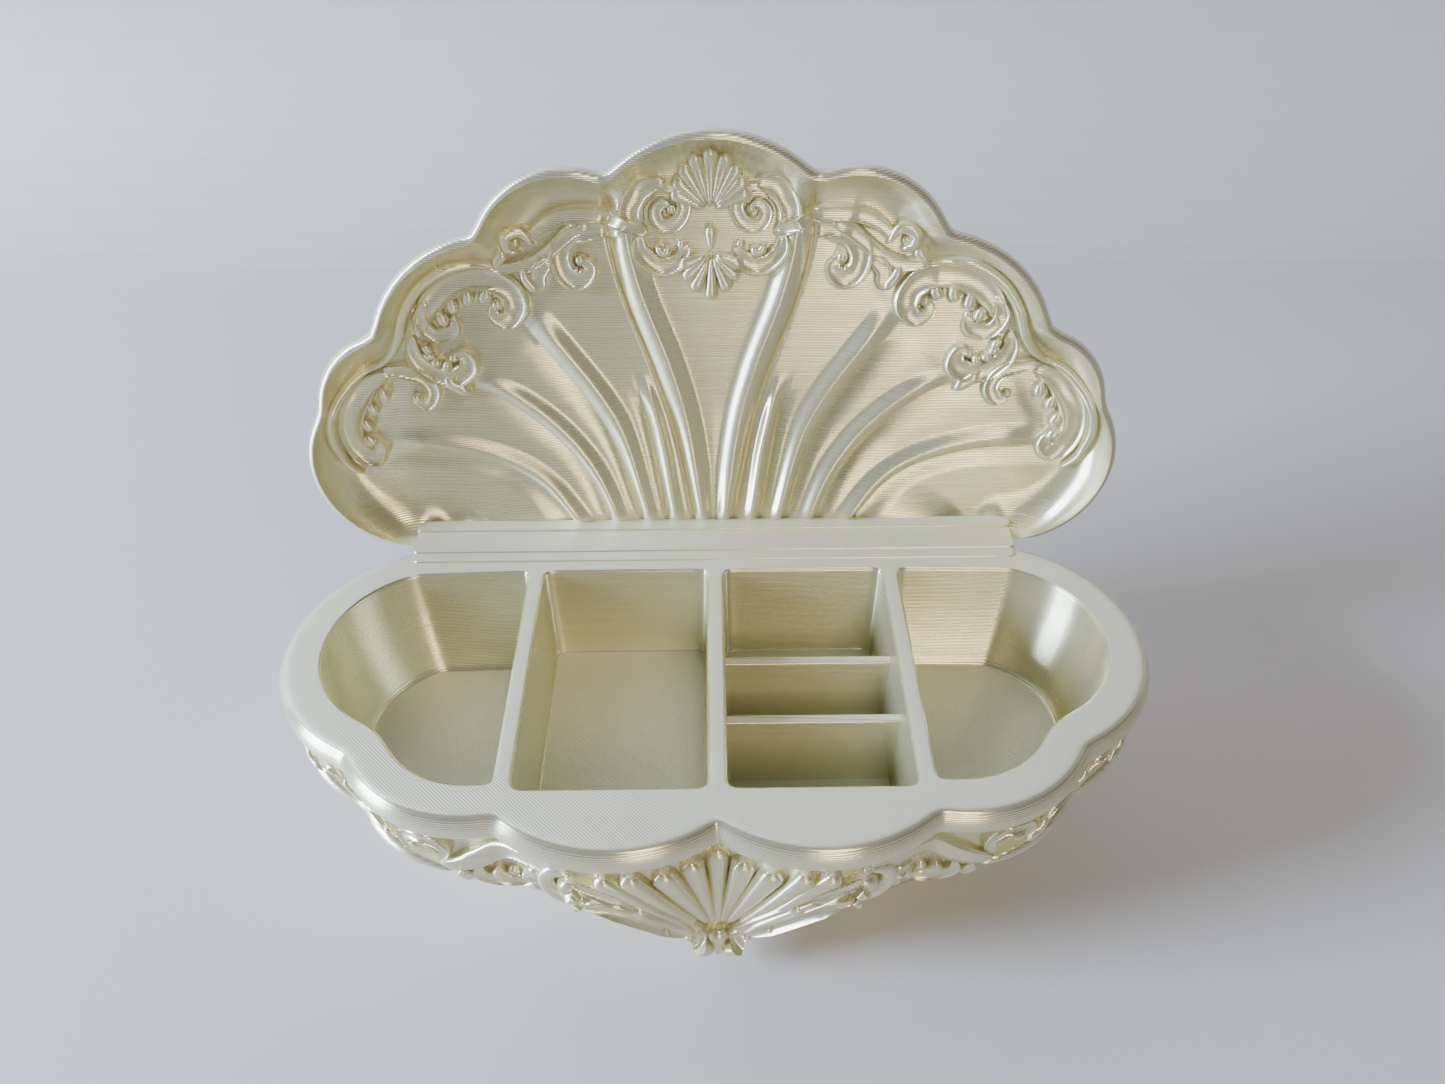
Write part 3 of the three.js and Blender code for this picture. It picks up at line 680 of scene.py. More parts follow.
print("marks across the middle flute:", [round(mark, 2) for mark in stations(0, 0.5)])

# %% [markdown]
# The height of the surface across a flute is mixed from those marks: floor, crest and next crease.
# Where a ridge has faded out, a low soft pillow is left in its place, as on the print, so the bowl is
# never quite flat. The second ridge from the middle ends low, and the flutes on both sides of it run
# together above its end.

# %% Flute height
def flute_height(lobe, share, t):
    if lobe == LAST_LOBE:
        return PILLOW * soft_step(share / 0.6)
    short = 1 - alive(1, t)
    top = mix(RIDGE_HEIGHT, PILLOW, short) if lobe == 1 else mix(PILLOW * 0.6, RIDGE_HEIGHT, alive(lobe, t))
    inner = PILLOW * short if lobe == 2 else 0.0
    outer = PILLOW * short if lobe == 1 else 0.0
    floor = RIDGE_HEIGHT * 0.2 if lobe == 0 else min(PILLOW, top)
    if share <= 1:
        rise = 1.0 if lobe == 0 else 1 - (1 - share) ** 2.4
        return mix(inner, floor, max(rise, short) if lobe == 2 else rise)
    return mix(floor, top, soft_step(share - 1)) if share <= 2 else mix(top, outer, (share - 2) ** 1.5)


print("crest of the middle flute stands", round(flute_height(0, 2, 0.5), 2), "mm high")

# %% [markdown]
# From lip to rim the lid is a bowl: shallow at the lip, deeper in the middle, with a hollow wall that
# leads up to a thin rim. The back runs parallel behind it, with low swells for the lobes. Both sides
# are measured down from the rim plane, and the distance from the rim gives the curve of the wall.

# %% Bowl and back
BOWL_DEPTH = 8.0
LIP_DEPTH = 5.8
COVE_WIDTH = 7.0
LID_EDGE = 3.6
LID_WALL = 2.6


def spot_at(lobe, share, t):
    segment = min(int(share), 2)
    marks = stations(lobe, t)
    across = mix(marks[segment], marks[segment + 1], share - segment)
    return lid_spot(lobe, across, t), across


def dish(t, wall_start):
    return mix(LIP_DEPTH, BOWL_DEPTH, soft_step(t / wall_start / 0.4))


def front_point(lobe, share, t, wall_start):
    spot, _ = spot_at(lobe, share, t)
    cove = (1 - (1 - min(rim_distance(spot) / COVE_WIDTH, 1)) ** 2.2) ** 0.7
    flute = flute_height(lobe, share, t) * soft_step(t / 0.06 + 0.3)
    return spot, -(dish(t, wall_start) - flute) * cove


def back_point(lobe, share, t, wall_start, lobed):
    spot, across = spot_at(lobe, share, t)
    turn = (1 - (1 - min(rim_distance(spot) / COVE_WIDTH / 1.2, 1)) ** 2) ** 0.6
    swell = math.sin(math.pi * across) * RIDGE_HEIGHT * 0.7 * lobed
    return spot, -mix(LID_EDGE, dish(t, wall_start) + LID_WALL + swell, turn)


print("bowl:", LIP_DEPTH, "mm deep at the lip,", BOWL_DEPTH, "mm in the middle")

# %% [markdown]
# One column of points runs up the front, round the thin rim and down the back. The steps get shorter
# toward the rim, where the wall bends most. At the neck the round of the rim fades out, so that the lid
# runs into the neck without a bump.

# %% Lid column
RIM_OUT = 1.3
RIM_FADE = 6.0
RIM_TURNS = 9
BOWL_STEPS = 64
WALL_STEPS = 18
BACK_WALL_STEPS = 12
BACK_STEPS = 18


def rim_way(where):
    i = min(int(where), last_rim - 1)
    (u0, v0), (u1, v1) = rim_edge[i], rim_edge[i + 1]
    length = math.dist((u0, v0), (u1, v1))
    reach = RIM_OUT * soft_step((last_rim - where) * RIM_STEP / RIM_FADE)
    return (v0 - v1) / length * reach, (u1 - u0) / length * reach


def lid_column(lobe, share):
    (foot, _), (tip, tip_across) = spot_at(lobe, share, 0), spot_at(lobe, share, 1)
    start = 1 - min(COVE_WIDTH / math.dist(foot, tip), 0.6)
    out = rim_way(mix(crease_tips[lobe], crease_tips[lobe + 1], tip_across))
    column = [front_point(lobe, share, start * i / BOWL_STEPS, start) for i in range(BOWL_STEPS)]
    for i in range(WALL_STEPS + 1):
        t = mix(start, 1, 1 - (1 - i / WALL_STEPS) ** 1.8)
        column.append(front_point(lobe, share, t, start))
    for i in range(1, RIM_TURNS):
        angle = math.pi * i / RIM_TURNS
        spot = (tip[0] + out[0] * math.sin(angle), tip[1] + out[1] * math.sin(angle))
        column.append((spot, -LID_EDGE / 2 * (1 - math.cos(angle))))
    for i in range(1, BACK_WALL_STEPS + 1):
        t = mix(1, start, (i / BACK_WALL_STEPS) ** 1.5)
        column.append(back_point(lobe, share, t, start, 0.5))
    for i in range(1, BACK_STEPS + 1):
        left = 1 - i / BACK_STEPS
        column.append(back_point(lobe, share, start * left, start, soft_step(left / 0.4)))
    return column


print("a column has", len(lid_column(0, 0.0)), "points")

# %% [markdown]
# The columns side by side are the rings of one loft. Each ring is closed under the lip by four points
# that reach down into the neck, so the lid stands in the base as it does in the print. The left half
# is the right one mirrored. A search tree of the finished surface is kept for the ornament.

# %% Lid shell
FLUTE_COLUMNS = (10, 9, 9)
LAST_COLUMNS = (18, 18, 18)
LID_ROOT = 4.0
LIP_FRONT = -2.4
LIP_CUT = 0.3


def column_ring(column, side):
    ring = [lid_place(side * u, v, w) for (u, v), w in column]
    (u, v), depth = column[0][0], column[-1][1]
    under = ((-LID_ROOT, depth), (-LID_ROOT, LIP_FRONT), (v - LIP_CUT, LIP_FRONT), (v, LIP_FRONT - LIP_CUT))
    return ring + [lid_place(side * u, up, w) for up, w in under]


columns = [lid_column(0, 0.0)]
for lobe in range(LAST_LOBE + 1):
    for part, count in enumerate(LAST_COLUMNS if lobe == LAST_LOBE else FLUTE_COLUMNS):
        columns += [lid_column(lobe, part + i / count) for i in range(1, count + 1)]
left = [column_ring(column, -1) for column in reversed(columns[1:])]
right = [column_ring(column, 1) for column in columns]
lid_mesh = bmesh.new()
loft(lid_mesh, left + right)
bmesh.ops.recalc_face_normals(lid_mesh, faces=lid_mesh.faces)
lid_hits = BVHTree.FromBMesh(lid_mesh)
lid = finish_mesh(lid_mesh, "shell_lid")

# %% [markdown]
# The ornament is printed with the box and stands about 2 mm proud. A stroke of it is a loft too: a
# curve is drawn flat, and a section is carried along it, thin and low at the ends. A curve object with
# a bevel could do that, but it can't lie on a bent surface, so a ray finds the surface under every
# point.

# %% Section of a stroke
SINK = 0.9
SECTION_STEPS = 18


def section(half, lift, groove):
    points = [(-1.0, -SINK)]
    for i in range(SECTION_STEPS + 1):
        turn = math.pi * i / SECTION_STEPS
        x = -math.cos(turn)
        hollow = groove * max(1 - (x / 0.74) ** 2, 0) ** 0.5
        points.append((x, lift * (math.sin(turn) ** 0.5 - hollow)))
    points.append((1.0, -SINK))
    return [(x * half, z) for x, z in points]


print("a section has", len(section(1, 1, 0)), "points")

# %% [markdown]
# The section is half round, and a wide one is hollow between two raised edges, as carved scrolls are.
# Along its path a stroke swells from a thin start and thins out again. A rib of a fan is a club: wide
# at its start and narrow at its root.

# %% Strokes
RISE = 2.2
STROKE_STEP = 0.5


def stroke(mesh, points, width, onto, groove=0.0, club=False):
    path = smooth_path(points, STROKE_STEP)
    last = len(path) - 1
    rings = []
    for i, (a, b) in enumerate(path):
        before, after = path[max(i - 1, 0)], path[min(i + 1, last)]
        length = math.dist(before, after)
        way = ((after[0] - before[0]) / length, (after[1] - before[1]) / length)
        share = i / last
        body = mix(1, 0.35, share) if club else min(1.0, 0.35 + share / 0.4, 0.4 + (1 - share) / 0.4)
        end = min(i, last - i) * STROKE_STEP / (width * 0.5)
        cap = math.sqrt(max(1 - (1 - min(end, 1)) ** 2, 0.02))
        lift = RISE * mix(0.7, 1, body) * mix(0.4, 1, cap)
        outline = section(width / 2 * body * cap, lift, groove * body * cap)
        put = onto(a, b)
        rings.append([put(-way[1] * side, way[0] * side, height) for side, height in outline])
    loft(mesh, rings)


print("strokes stand", RISE, "mm proud at most")

# %% [markdown]
# The ornament comes in pairs, left and right, so one helper makes a stroke and its mirror image. The
# eyes of the scrolls are small balls, sunk a little into the surface. An icosphere is used for them,
# because its faces are even and it has no poles.

# %% Mirrored strokes and eyes
def both_sides(mesh, strokes, onto, club=False):
    for points, width, groove in strokes:
        stroke(mesh, points, width, onto, groove, club)
        stroke(mesh, [(-a, b) for a, b in points], width, onto, groove, club)


def pearl_bead(mesh, a, b, radius, onto):
    centre = Matrix.Translation(onto(a, b)(0, 0, radius * 0.4))
    bmesh.ops.create_icosphere(mesh, subdivisions=3, radius=radius * MM, matrix=centre)


def both_beads(mesh, eyes, onto):
    for a, b, radius in eyes:
        pearl_bead(mesh, a, b, radius, onto)
        pearl_bead(mesh, -a, b, radius, onto)


print("strokes and eyes are made in pairs")

# %% [markdown]
# Short leaves spring from the inner edge of the big scrolls, and small fans of ribs open above and
# below the middle. Both are rows of strokes, so they are worked out instead of drawn one by one.

# %% Leaves and fans
LEAF_SHAPE = ((0, 0), (0.6, 0.1), (1, 0.6))
RIB_SHARES = (1, 0.6, 0.12)


def leaf_row(points, width, count, reach, part=(0.2, 0.8)):
    path = smooth_path(points, STROKE_STEP)
    near = width * 0.3
    leaves = []
    for i in range(count):
        k = int(mix(*part, i / (count - 1)) * (len(path) - 2))
        (a, b), (c, d) = path[k], path[k + 1]
        length = math.dist((a, b), (c, d))
        tu, tv = (c - a) / length, (d - b) / length
        steps = [(near + x * reach, y * reach) for x, y in LEAF_SHAPE]
        leaf = [(a + tv * out + tu * on, b - tu * out + tv * on) for out, on in steps]
        leaves.append((leaf, reach * 0.85, 0.0))
    return leaves


def fan(root, count, angles, reaches, width):
    ribs = []
    for i in range(count):
        share = i / (count - 1)
        angle, reach = math.radians(mix(*angles, share)), mix(*reaches, share)
        way = (math.sin(angle) * reach, math.cos(angle) * reach)
        ribs.append(([(root[0] + way[0] * s, root[1] + way[1] * s) for s in RIB_SHARES], width, 0.0))
    return ribs


print("a fan of three:", len(fan((0, 0), 3, (0, 60), (8, 6), 3.0)), "ribs")

# %% [markdown]
# The ornament of the lid is rococo work: a shell in the middle with a volute on each side, then a
# chain of C scrolls along the rim. Each entry gives the points of a stroke in u and v, its width and
# the depth of its groove. This first cell holds the middle and the first scroll beside it.

# %% Lid ornament, middle
MIDDLE_STROKES = [
    ([(7.6, 69.6), (11.4, 68.4), (13.6, 65.4), (13.4, 62), (10.8, 60.2)], 4.6, 0.65),
    ([(8.8, 69), (5.6, 67.6), (4.5, 64.8), (6, 62.2), (8.6, 62), (9.6, 64.2), (8.2, 65.8), (6.8, 64.8)],
     2.8, 0.4),
    ([(12.4, 60.6), (12.2, 57), (9, 54.4), (5.8, 55.4), (4, 58.4)], 3.8, 0.7),
    ([(9.8, 58.6), (8.4, 57), (6.8, 58)], 1.8, 0.0),
    ([(11.4, 60.4), (15.8, 62.7), (20.6, 63.9), (25.5, 63.6), (29.6, 61.9), (32.4, 59)], 3.2, 0.45),
    ([(31, 58.2), (33, 61), (35.9, 60.2), (35.4, 57.8), (33.4, 57.4)], 2.2, 0.0),
    ([(15.4, 60.9), (20.4, 61.3), (24.8, 59.8), (26.6, 56.4), (25.8, 53.2), (23.2, 52.2), (21.6, 54.2),
      (23, 56)], 4.6, 0.65),
    ([(21, 62.4), (25.6, 59.9), (29.6, 56.6), (33.6, 54.6), (38.8, 54.4)], 3.0, 0.4),
    ([(28.4, 56.4), (30.8, 53.2), (30.6, 49.6)], 3.2, 0.3),
    ([(33.8, 54.4), (32.6, 51.8), (30.8, 49.8)], 2.2, 0.0),
    ([(38.4, 54.2), (37.4, 56.2), (35.6, 57.4)], 2.2, 0.0),
]
MIDDLE_FANS = [
    *fan((0, 64.4), 4, (16, 64), (10.2, 7.8), 3.2),
    *fan((0, 56.8), 3, (156, 112), (7.8, 6.2), 3.0),
]
CENTRE_RIBS = [
    ([(0, 75.2), (0, 70), (0, 65)], 3.2, 0.0),
    ([(0, 48), (0, 52), (0, 56)], 2.8, 0.0),
    ([(0, 61.8), (0, 59.2), (0, 57)], 3.0, 0.0),
]
print("middle of the lid:", len(MIDDLE_STROKES), "strokes on each side")

# %% [markdown]
# Three big C scrolls follow toward the neck. Each is a wide hollow stroke with a row of leaves inside
# its bend, and thin stems lead from one to the next.

# %% Lid ornament, side scrolls
SCROLL_GROOVE = 0.65
BIG_SCROLL = [(39.4, 47.6), (39.6, 45.2), (37.4, 44.1), (35.4, 46.4), (36.2, 50), (39.8, 52.2), (45, 51.8),
              (49.6, 49.2), (52.6, 45), (54, 41)]
LOW_SCROLL = [(55, 41.6), (55.2, 37.4), (52.6, 34), (48.6, 33), (45.6, 34.8), (46, 37.4), (48.2, 37.4)]
END_SCROLL = [(60.6, 34), (65.2, 31.2), (68.4, 27), (69.8, 22), (69, 17.6), (66.2, 15.8), (64.8, 18),
              (66, 20)]
SIDE_STROKES = [
    (BIG_SCROLL, 5.2, SCROLL_GROOVE),
    ([(38, 54.8), (46, 54.6), (51.8, 51.6), (55.4, 46.8), (57.4, 41.6), (60, 37.4), (63.8, 34.6)], 2.0, 0.0),
    ([(51.6, 48.4), (53, 44.6), (50.8, 41.6), (47.4, 42.4), (47, 45)], 3.4, 0.5),
    *leaf_row(BIG_SCROLL, 5.2, 4, 2.8, (0.46, 0.84)),
    (LOW_SCROLL, 4.6, SCROLL_GROOVE),
    ([(50.6, 33), (48.2, 31.2), (45.6, 29.6)], 2.6, 0.0),
    *leaf_row(LOW_SCROLL, 4.6, 4, 2.2, (0.1, 0.55)),
    ([(62, 34.6), (57.6, 34.2), (54, 32.6), (52.8, 29.8), (54.6, 27.4), (56.6, 28.8)], 3.4, 0.5),
    (END_SCROLL, 5.2, SCROLL_GROOVE),
    ([(60.4, 36.4), (66.4, 33.6), (71, 28.2), (72.9, 21.8), (71.8, 15.4), (68.8, 12.6)], 1.9, 0.0),
    *leaf_row(END_SCROLL, 5.2, 4, 2.8, (0.14, 0.66)),
]
EYES = [(6.9, 64.6, 1.0), (23.2, 55.6, 1.1), (38.9, 47.2, 1.2), (48, 37, 1.1), (65.8, 19.4, 1.2),
        (47, 44.6, 0.9), (56.2, 28.6, 1.0), (34.4, 58.8, 1.0), (5.2, 58.2, 0.9)]
print("side scrolls:", len(SIDE_STROKES), "strokes and", len(EYES), "eyes on each side")

# %% [markdown]
# The strokes are now laid on the lid. For each point a ray is sent from the front straight at the lid,
# and what it meets is the foot of the stroke there, so the ornament dips and rises with the flutes.

# %% Lid ornament
RAY_START = 20


def onto_lid(u, v):
    toward = (lid_place(0, 0, -1) - lid_place(0, 0, 0)).normalized()
    point, _, _, distance = lid_hits.ray_cast(lid_place(u, v, RAY_START), toward)
    w = RAY_START - distance / MM if point else -BOWL_DEPTH
    return lambda du, dv, lift: lid_place(u + du, v + dv, w + lift)


ornament_mesh = bmesh.new()
both_sides(ornament_mesh, MIDDLE_STROKES + SIDE_STROKES, onto_lid)
both_sides(ornament_mesh, MIDDLE_FANS, onto_lid, club=True)
for points, width, groove in CENTRE_RIBS:
    stroke(ornament_mesh, points, width, onto_lid, groove, club=True)
both_beads(ornament_mesh, EYES, onto_lid)
lid_ornament = finish_mesh(ornament_mesh, "lid_ornament")

# %% [markdown]
# The front of the base carries a fan of ribs on the apron, framed by two broad leaves, and a chain of
# scrolls that runs round to each side. Their paths are drawn in x and in height below the deck. The
# three small scrolls of the flank are one shape, shrunk toward the back as the wall turns away.

# %% Front ornament, strokes
FRONT_RIBS = [
    ([(4.4, -7.6), (3.3, -14), (0.7, -27.4)], 4.2, 0.0),
    ([(9.2, -7.8), (6.6, -14), (1.6, -26.8)], 4.4, 0.0),
    ([(14.6, -7.0), (11.2, -12.2), (3.6, -24.8)], 3.8, 0.0),
    ([(19.2, -7.4), (14.4, -11.4), (5.2, -23.6)], 3.2, 0.0),
]
FLANK_CURL = ((-2.5, 0), (-4, 3.2), (-1.2, 5.8), (2.2, 5), (2.4, 2.6), (0.2, 2.2))
FLANK_LEAF = ((1.8, 0.8), (4.6, 2), (5.8, 4.6))


def flank_loop(x, low, size):
    curl = [(x + dx * size, low + dz * size) for dx, dz in FLANK_CURL]
    leaf = [(x + dx * size, low + dz * size) for dx, dz in FLANK_LEAF]
    return [(curl, 2.8 * size, 0.45), (leaf, 2.4 * size, 0.0)]


FRONT_STROKES = [
    ([(24, -8.6), (17.8, -11.8), (11.8, -16.6), (6.8, -22.2), (2.4, -28.6)], 3.4, 0.55),
    ([(22, -14.8), (16.6, -16), (12, -19.4), (8, -23.6), (4.2, -28.4)], 4.8, 0.75),
    ([(8.4, -24.4), (8.6, -27.6), (6.4, -30.4), (3.8, -30.6), (3, -28.6), (4.8, -27.8)], 2.8, 0.45),
    ([(5, -31.6), (3.2, -34), (0.8, -36.8)], 2.8, 0.0),
    ([(22.6, -6.8), (26.4, -8.6), (27.2, -12.2), (25, -15.4), (21.4, -15.8)], 3.0, 0.0),
    ([(21.8, -9), (24, -10.2), (24, -12.6), (21.8, -13.8)], 2.4, 0.0),
    ([(45.8, -14.8), (40, -12.2), (34, -8.8), (28.4, -7), (22.8, -6.6)], 4.4, 0.35),
    ([(31.4, -11.6), (28.8, -12.2), (27.4, -15.4)], 3.2, 0.4),
    ([(38.8, -13.4), (39, -17.6), (36.4, -20.8), (32.8, -20.8), (30.8, -17.8), (32.2, -15.6)], 3.2, 0.45),
    ([(36, -14.6), (36, -17.2), (34.2, -18.6)], 2.2, 0.0),
    ([(42, -15), (42, -18.4), (40.8, -21)], 2.6, 0.0),
    ([(43, -15.6), (49, -15.2), (56, -14.6), (63, -13.6), (69, -11.8), (73.6, -9.6)], 2.8, 0.0),
    *flank_loop(48, -13, 1.0),
    *flank_loop(57.4, -12.6, 0.92),
    *flank_loop(66, -11.8, 0.78),
]
FRONT_EYES = [(21, -11.4, 1.1), (33.8, -16.4, 1.1), (12.6, -16.6, 1.5), (4.8, -29.4, 0.9),
              (47.6, -9.6, 0.9), (57, -9.6, 0.8)]
print("front:", len(FRONT_STROKES) + len(FRONT_RIBS), "strokes on each side")

# %% [markdown]
# On the front the ray comes straight from the front in the middle, and round the sides it turns with
# the wall. It meets the base or the apron, whichever stands further out, so one search tree holds
# both. A bead in the middle closes the fan at the bottom.

# %% Front ornament
FRONT_AWAY = 9
TURN_FROM, TURN_OVER = 26, 18
base_shape = bmesh.new()
base_shape.from_mesh(base.data)
base_shape.from_mesh(apron.data)
base_hits = BVHTree.FromBMesh(base_shape)
base_shape.free()
front_sides = ((x, out) for (x, y), out in zip(deck, deck_out) if y < LOBE_CENTRE[1])
front_normals = sorted(front_sides, key=lambda entry: entry[0])


def onto_front(x, drop):
    nearest = min(front_normals, key=lambda entry: abs(entry[0] - x))[1]
    turn = soft_step((abs(x) - TURN_FROM) / TURN_OVER)
    way = Vector((mix(0, nearest[0], turn), mix(-1, nearest[1], turn), 0)).normalized()
    start = place(x, front_at(x), DECK + drop) + way * FRONT_AWAY * MM
    point, _, _, _ = base_hits.ray_cast(start, -way)
    spot = point if point else start - way * FRONT_AWAY * MM
    sideways = Vector((-way.y, way.x, 0))
    return lambda dx, dz, lift: spot + (sideways * dx + Vector((0, 0, dz)) + way * lift) * MM


front_mesh = bmesh.new()
both_sides(front_mesh, FRONT_STROKES, onto_front)
both_sides(front_mesh, FRONT_RIBS, onto_front, club=True)
stroke(front_mesh, [(0, -7.2), (0, -15), (0, -28)], 4.2, onto_front, club=True)
stroke(front_mesh, [(0, -32), (0, -35), (0, -38)], 3.4, onto_front, club=True)
both_beads(front_mesh, FRONT_EYES, onto_front)
pearl_bead(front_mesh, 0, -31.4, 1.9, onto_front)
front_ornament = finish_mesh(front_mesh, "front_ornament")

# %% [markdown]
# Colours are written as sRGB hex values, as a colour picker shows them, and one function turns them
# into the linear values that Blender works with. A second small function adds a shader node with its
# settings and links, so each line of the material below reads as one node.

# %% Colour and node helpers
def linear(hex_colour):
    values = [int(hex_colour[i:i + 2], 16) / 255 for i in (1, 3, 5)]
    return tuple(v / 12.92 if v <= 0.04045 else ((v + 0.055) / 1.055) ** 2.4 for v in values) + (1.0,)


def node(tree, kind, settings=None, **links):
    made = tree.nodes.new(kind)
    for name, value in (settings or {}).items():
        if isinstance(name, str) and hasattr(made, name):
            setattr(made, name, value)
        else:
            made.inputs[name].default_value = value
    for name, source in links.items():
        key = int(name[1:]) if name[0] == "_" else name.replace("_", " ")
        tree.links.new(source, made.inputs[key])
    return made


print("mid grey in linear light:", round(linear("#808080")[0], 3))

# %% [markdown]
# Silk PLA is a polyester plastic with a pearl additive: glossy, a little translucent and warm white.
# The plastic has an IOR of 1.46. A little subsurface light gives the translucent look. The pearl
# additive mirrors light nearly as a metal does, and a metallic share is the simplest way to get that.
# The box is laid down in level layers. Its walls carry their fine lines, while its flat tops show the
# strokes of the nozzle and look duller. The upward part of the normal tells the two apart.

# %% Silk PLA, the plastic
pearl = bpy.data.materials.new("pearl_silk_pla")
pearl.use_nodes = True
tree = pearl.node_tree
shader = tree.nodes["Principled BSDF"]
shader.inputs["IOR"].default_value = 1.46
shader.inputs["Subsurface Weight"].default_value = 0.12
shader.inputs["Subsurface Radius"].default_value = (1.0, 0.95, 0.5)
shader.inputs["Subsurface Scale"].default_value = 3 * MM
coordinates = node(tree, "ShaderNodeTexCoord").outputs["Object"]
facing = node(tree, "ShaderNodeNewGeometry").outputs["Normal"]
upward = node(tree, "ShaderNodeSeparateXYZ", _0=facing).outputs["Z"]
top_range = {"From Min": 0.93, "From Max": 0.99}
flat_top = node(tree, "ShaderNodeMapRange", top_range, Value=upward).outputs["Result"]
FINISHES = (("Metallic", 0.78, 0.3), ("Roughness", 0.27, 0.42), ("Anisotropic", 0.85, 0.0))
for socket, on_walls, on_tops in FINISHES:
    change = node(tree, "ShaderNodeMapRange", {"To Min": on_walls, "To Max": on_tops}, Value=flat_top)
    tree.links.new(change.outputs["Result"], shader.inputs[socket])
print("finish changes from walls to tops:", [name for name, _, _ in FINISHES])

# %% [markdown]
# Level lines on a wall stretch every highlight upright, like light on brushed metal. Anisotropic
# shading does that. Its tangent has to run along the layers, which is level and in the surface: the
# cross product of the normal with the upward direction. A quarter turn sets the stretch upright.

# %% Silk PLA, stretched highlights
level = node(
    tree, "ShaderNodeVectorMath", {"operation": "CROSS_PRODUCT", 1: (0.001, 0.0, 1.0)}, _0=facing)
tree.links.new(level.outputs["Vector"], shader.inputs["Tangent"])
shader.inputs["Anisotropic Rotation"].default_value = 0.25
print("highlights stretch across the layers")

# %% [markdown]
# The layers differ a little in tone, since the pearl additive turns with each pass of the nozzle. A
# noise that is squeezed hard in z gives long level streaks. They mix two warm whites on the walls, and
# flat tops have one cooler white.

# %% Silk PLA, colour
STREAK_LENGTH = 500 / 7 * MM
STREAK_HEIGHT = 5 / 12 * MM
squeeze = (1 / STREAK_LENGTH, 1 / STREAK_LENGTH, 1 / STREAK_HEIGHT)
squeezed = node(tree, "ShaderNodeVectorMath", {"operation": "MULTIPLY", 1: squeeze}, _0=coordinates)
streaks = node(
    tree, "ShaderNodeTexNoise", {"Scale": 1.0, "Detail": 2.0}, Vector=squeezed.outputs["Vector"]).outputs[0]
wall_tone = node(
    tree, "ShaderNodeMix", {"data_type": "RGBA", "A": linear("#D8D5B1"), "B": linear("#ECE9CC")},
    Factor=streaks)
colour = node(
    tree, "ShaderNodeMix", {"data_type": "RGBA", "B": linear("#DFDEC8")}, Factor=flat_top,
    A=wall_tone.outputs["Result"])
tree.links.new(colour.outputs["Result"], shader.inputs["Base Color"])
print("streaks are about", round(STREAK_HEIGHT / MM, 2), "mm high and", round(STREAK_LENGTH / MM), "mm long")

# %% [markdown]
# Layer lines are a sine wave up the wall, one per layer, and the streaks are added to them, so no two
# layers are quite alike. Nozzle strokes are a sine wave across the flat tops, at 45 degrees as a
# slicer lays them. Both only bump the surface by a few hundredths of a millimetre. Real geometry for
# them would need millions of faces.

# %% Silk PLA, print lines
LAYER = 0.32 * MM
NOZZLE_STROKE = 0.45 * MM
LINE_DEPTH = 0.05 * MM
STREAK_SHARE = 1.6
DIAGONAL = (0.7071, 0.7071, 0)
waves = []
for way, period in (((0, 0, 1), LAYER), (DIAGONAL, NOZZLE_STROKE)):
    turns = [value * 2 * math.pi / period for value in way]
    run = node(tree, "ShaderNodeVectorMath", {"operation": "DOT_PRODUCT", 1: turns}, _0=coordinates)
    waves.append(node(tree, "ShaderNodeMath", {"operation": "SINE"}, _0=run.outputs["Value"]).outputs[0])
layer_lines = node(
    tree, "ShaderNodeMath", {"operation": "MULTIPLY_ADD", 1: STREAK_SHARE}, _0=streaks, _2=waves[0])
height = node(tree, "ShaderNodeMix", Factor=flat_top, A=layer_lines.outputs[0], B=waves[1]).outputs[0]
bump = node(tree, "ShaderNodeBump", {"Strength": 0.5, "Distance": LINE_DEPTH}, Height=height)
tree.links.new(bump.outputs["Normal"], shader.inputs["Normal"])
print("layers of", LAYER / MM, "mm, nozzle strokes of", NOZZLE_STROKE / MM, "mm")

# %% [markdown]
# All six pieces are one print, so they share the material. They are shaded smooth, but edges sharper
# than 50 degrees stay crisp. A weighted normal keeps the large faces flat beside small bevels. Each
# piece rides on the one body and stands in for the one solid.

# %% Dress the pieces
pieces = (base, apron, walls, lid, lid_ornament, front_ornament)
for piece in pieces:
    piece.data.materials.clear()
    piece.data.materials.append(pearl)
    piece.data.shade_smooth()
    piece.data.set_sharp_from_angle(angle=math.radians(50))
    even = piece.modifiers.new("even_shading", "WEIGHTED_NORMAL")
    even.keep_sharp = True
    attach(piece, "root")
    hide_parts("shell_box")
print("dressed:", [piece.name for piece in pieces])

# %% [markdown]
# The box stands in a plain studio: a pale floor that runs up into a wall through a wide round corner,
# so no line shows behind it. It is one grid whose back edge is extruded upward and whose fold is
# bevelled.

# %% Studio floor
FLOOR_HALF = 3.0
WALL_Y = 0.30
COVE_RADIUS = 0.08
NEAR_WALL = 0.01

paper = bpy.data.materials.new("studio_paper")
paper.use_nodes = True
paper.node_tree.nodes["Principled BSDF"].inputs["Base Color"].default_value = linear("#C4C3C6")
paper.node_tree.nodes["Principled BSDF"].inputs["Roughness"].default_value = 0.6
floor_mesh = bmesh.new()
bmesh.ops.create_grid(floor_mesh, x_segments=1, y_segments=1, size=FLOOR_HALF)
bmesh.ops.translate(floor_mesh, verts=floor_mesh.verts, vec=(0, WALL_Y - FLOOR_HALF, 0))
back_edge = [e for e in floor_mesh.edges if all(v.co.y > WALL_Y - NEAR_WALL for v in e.verts)]
raised = bmesh.ops.extrude_edge_only(floor_mesh, edges=back_edge)["geom"]
raised_verts = [v for v in raised if isinstance(v, bmesh.types.BMVert)]
bmesh.ops.translate(floor_mesh, verts=raised_verts, vec=(0, 0, FLOOR_HALF))
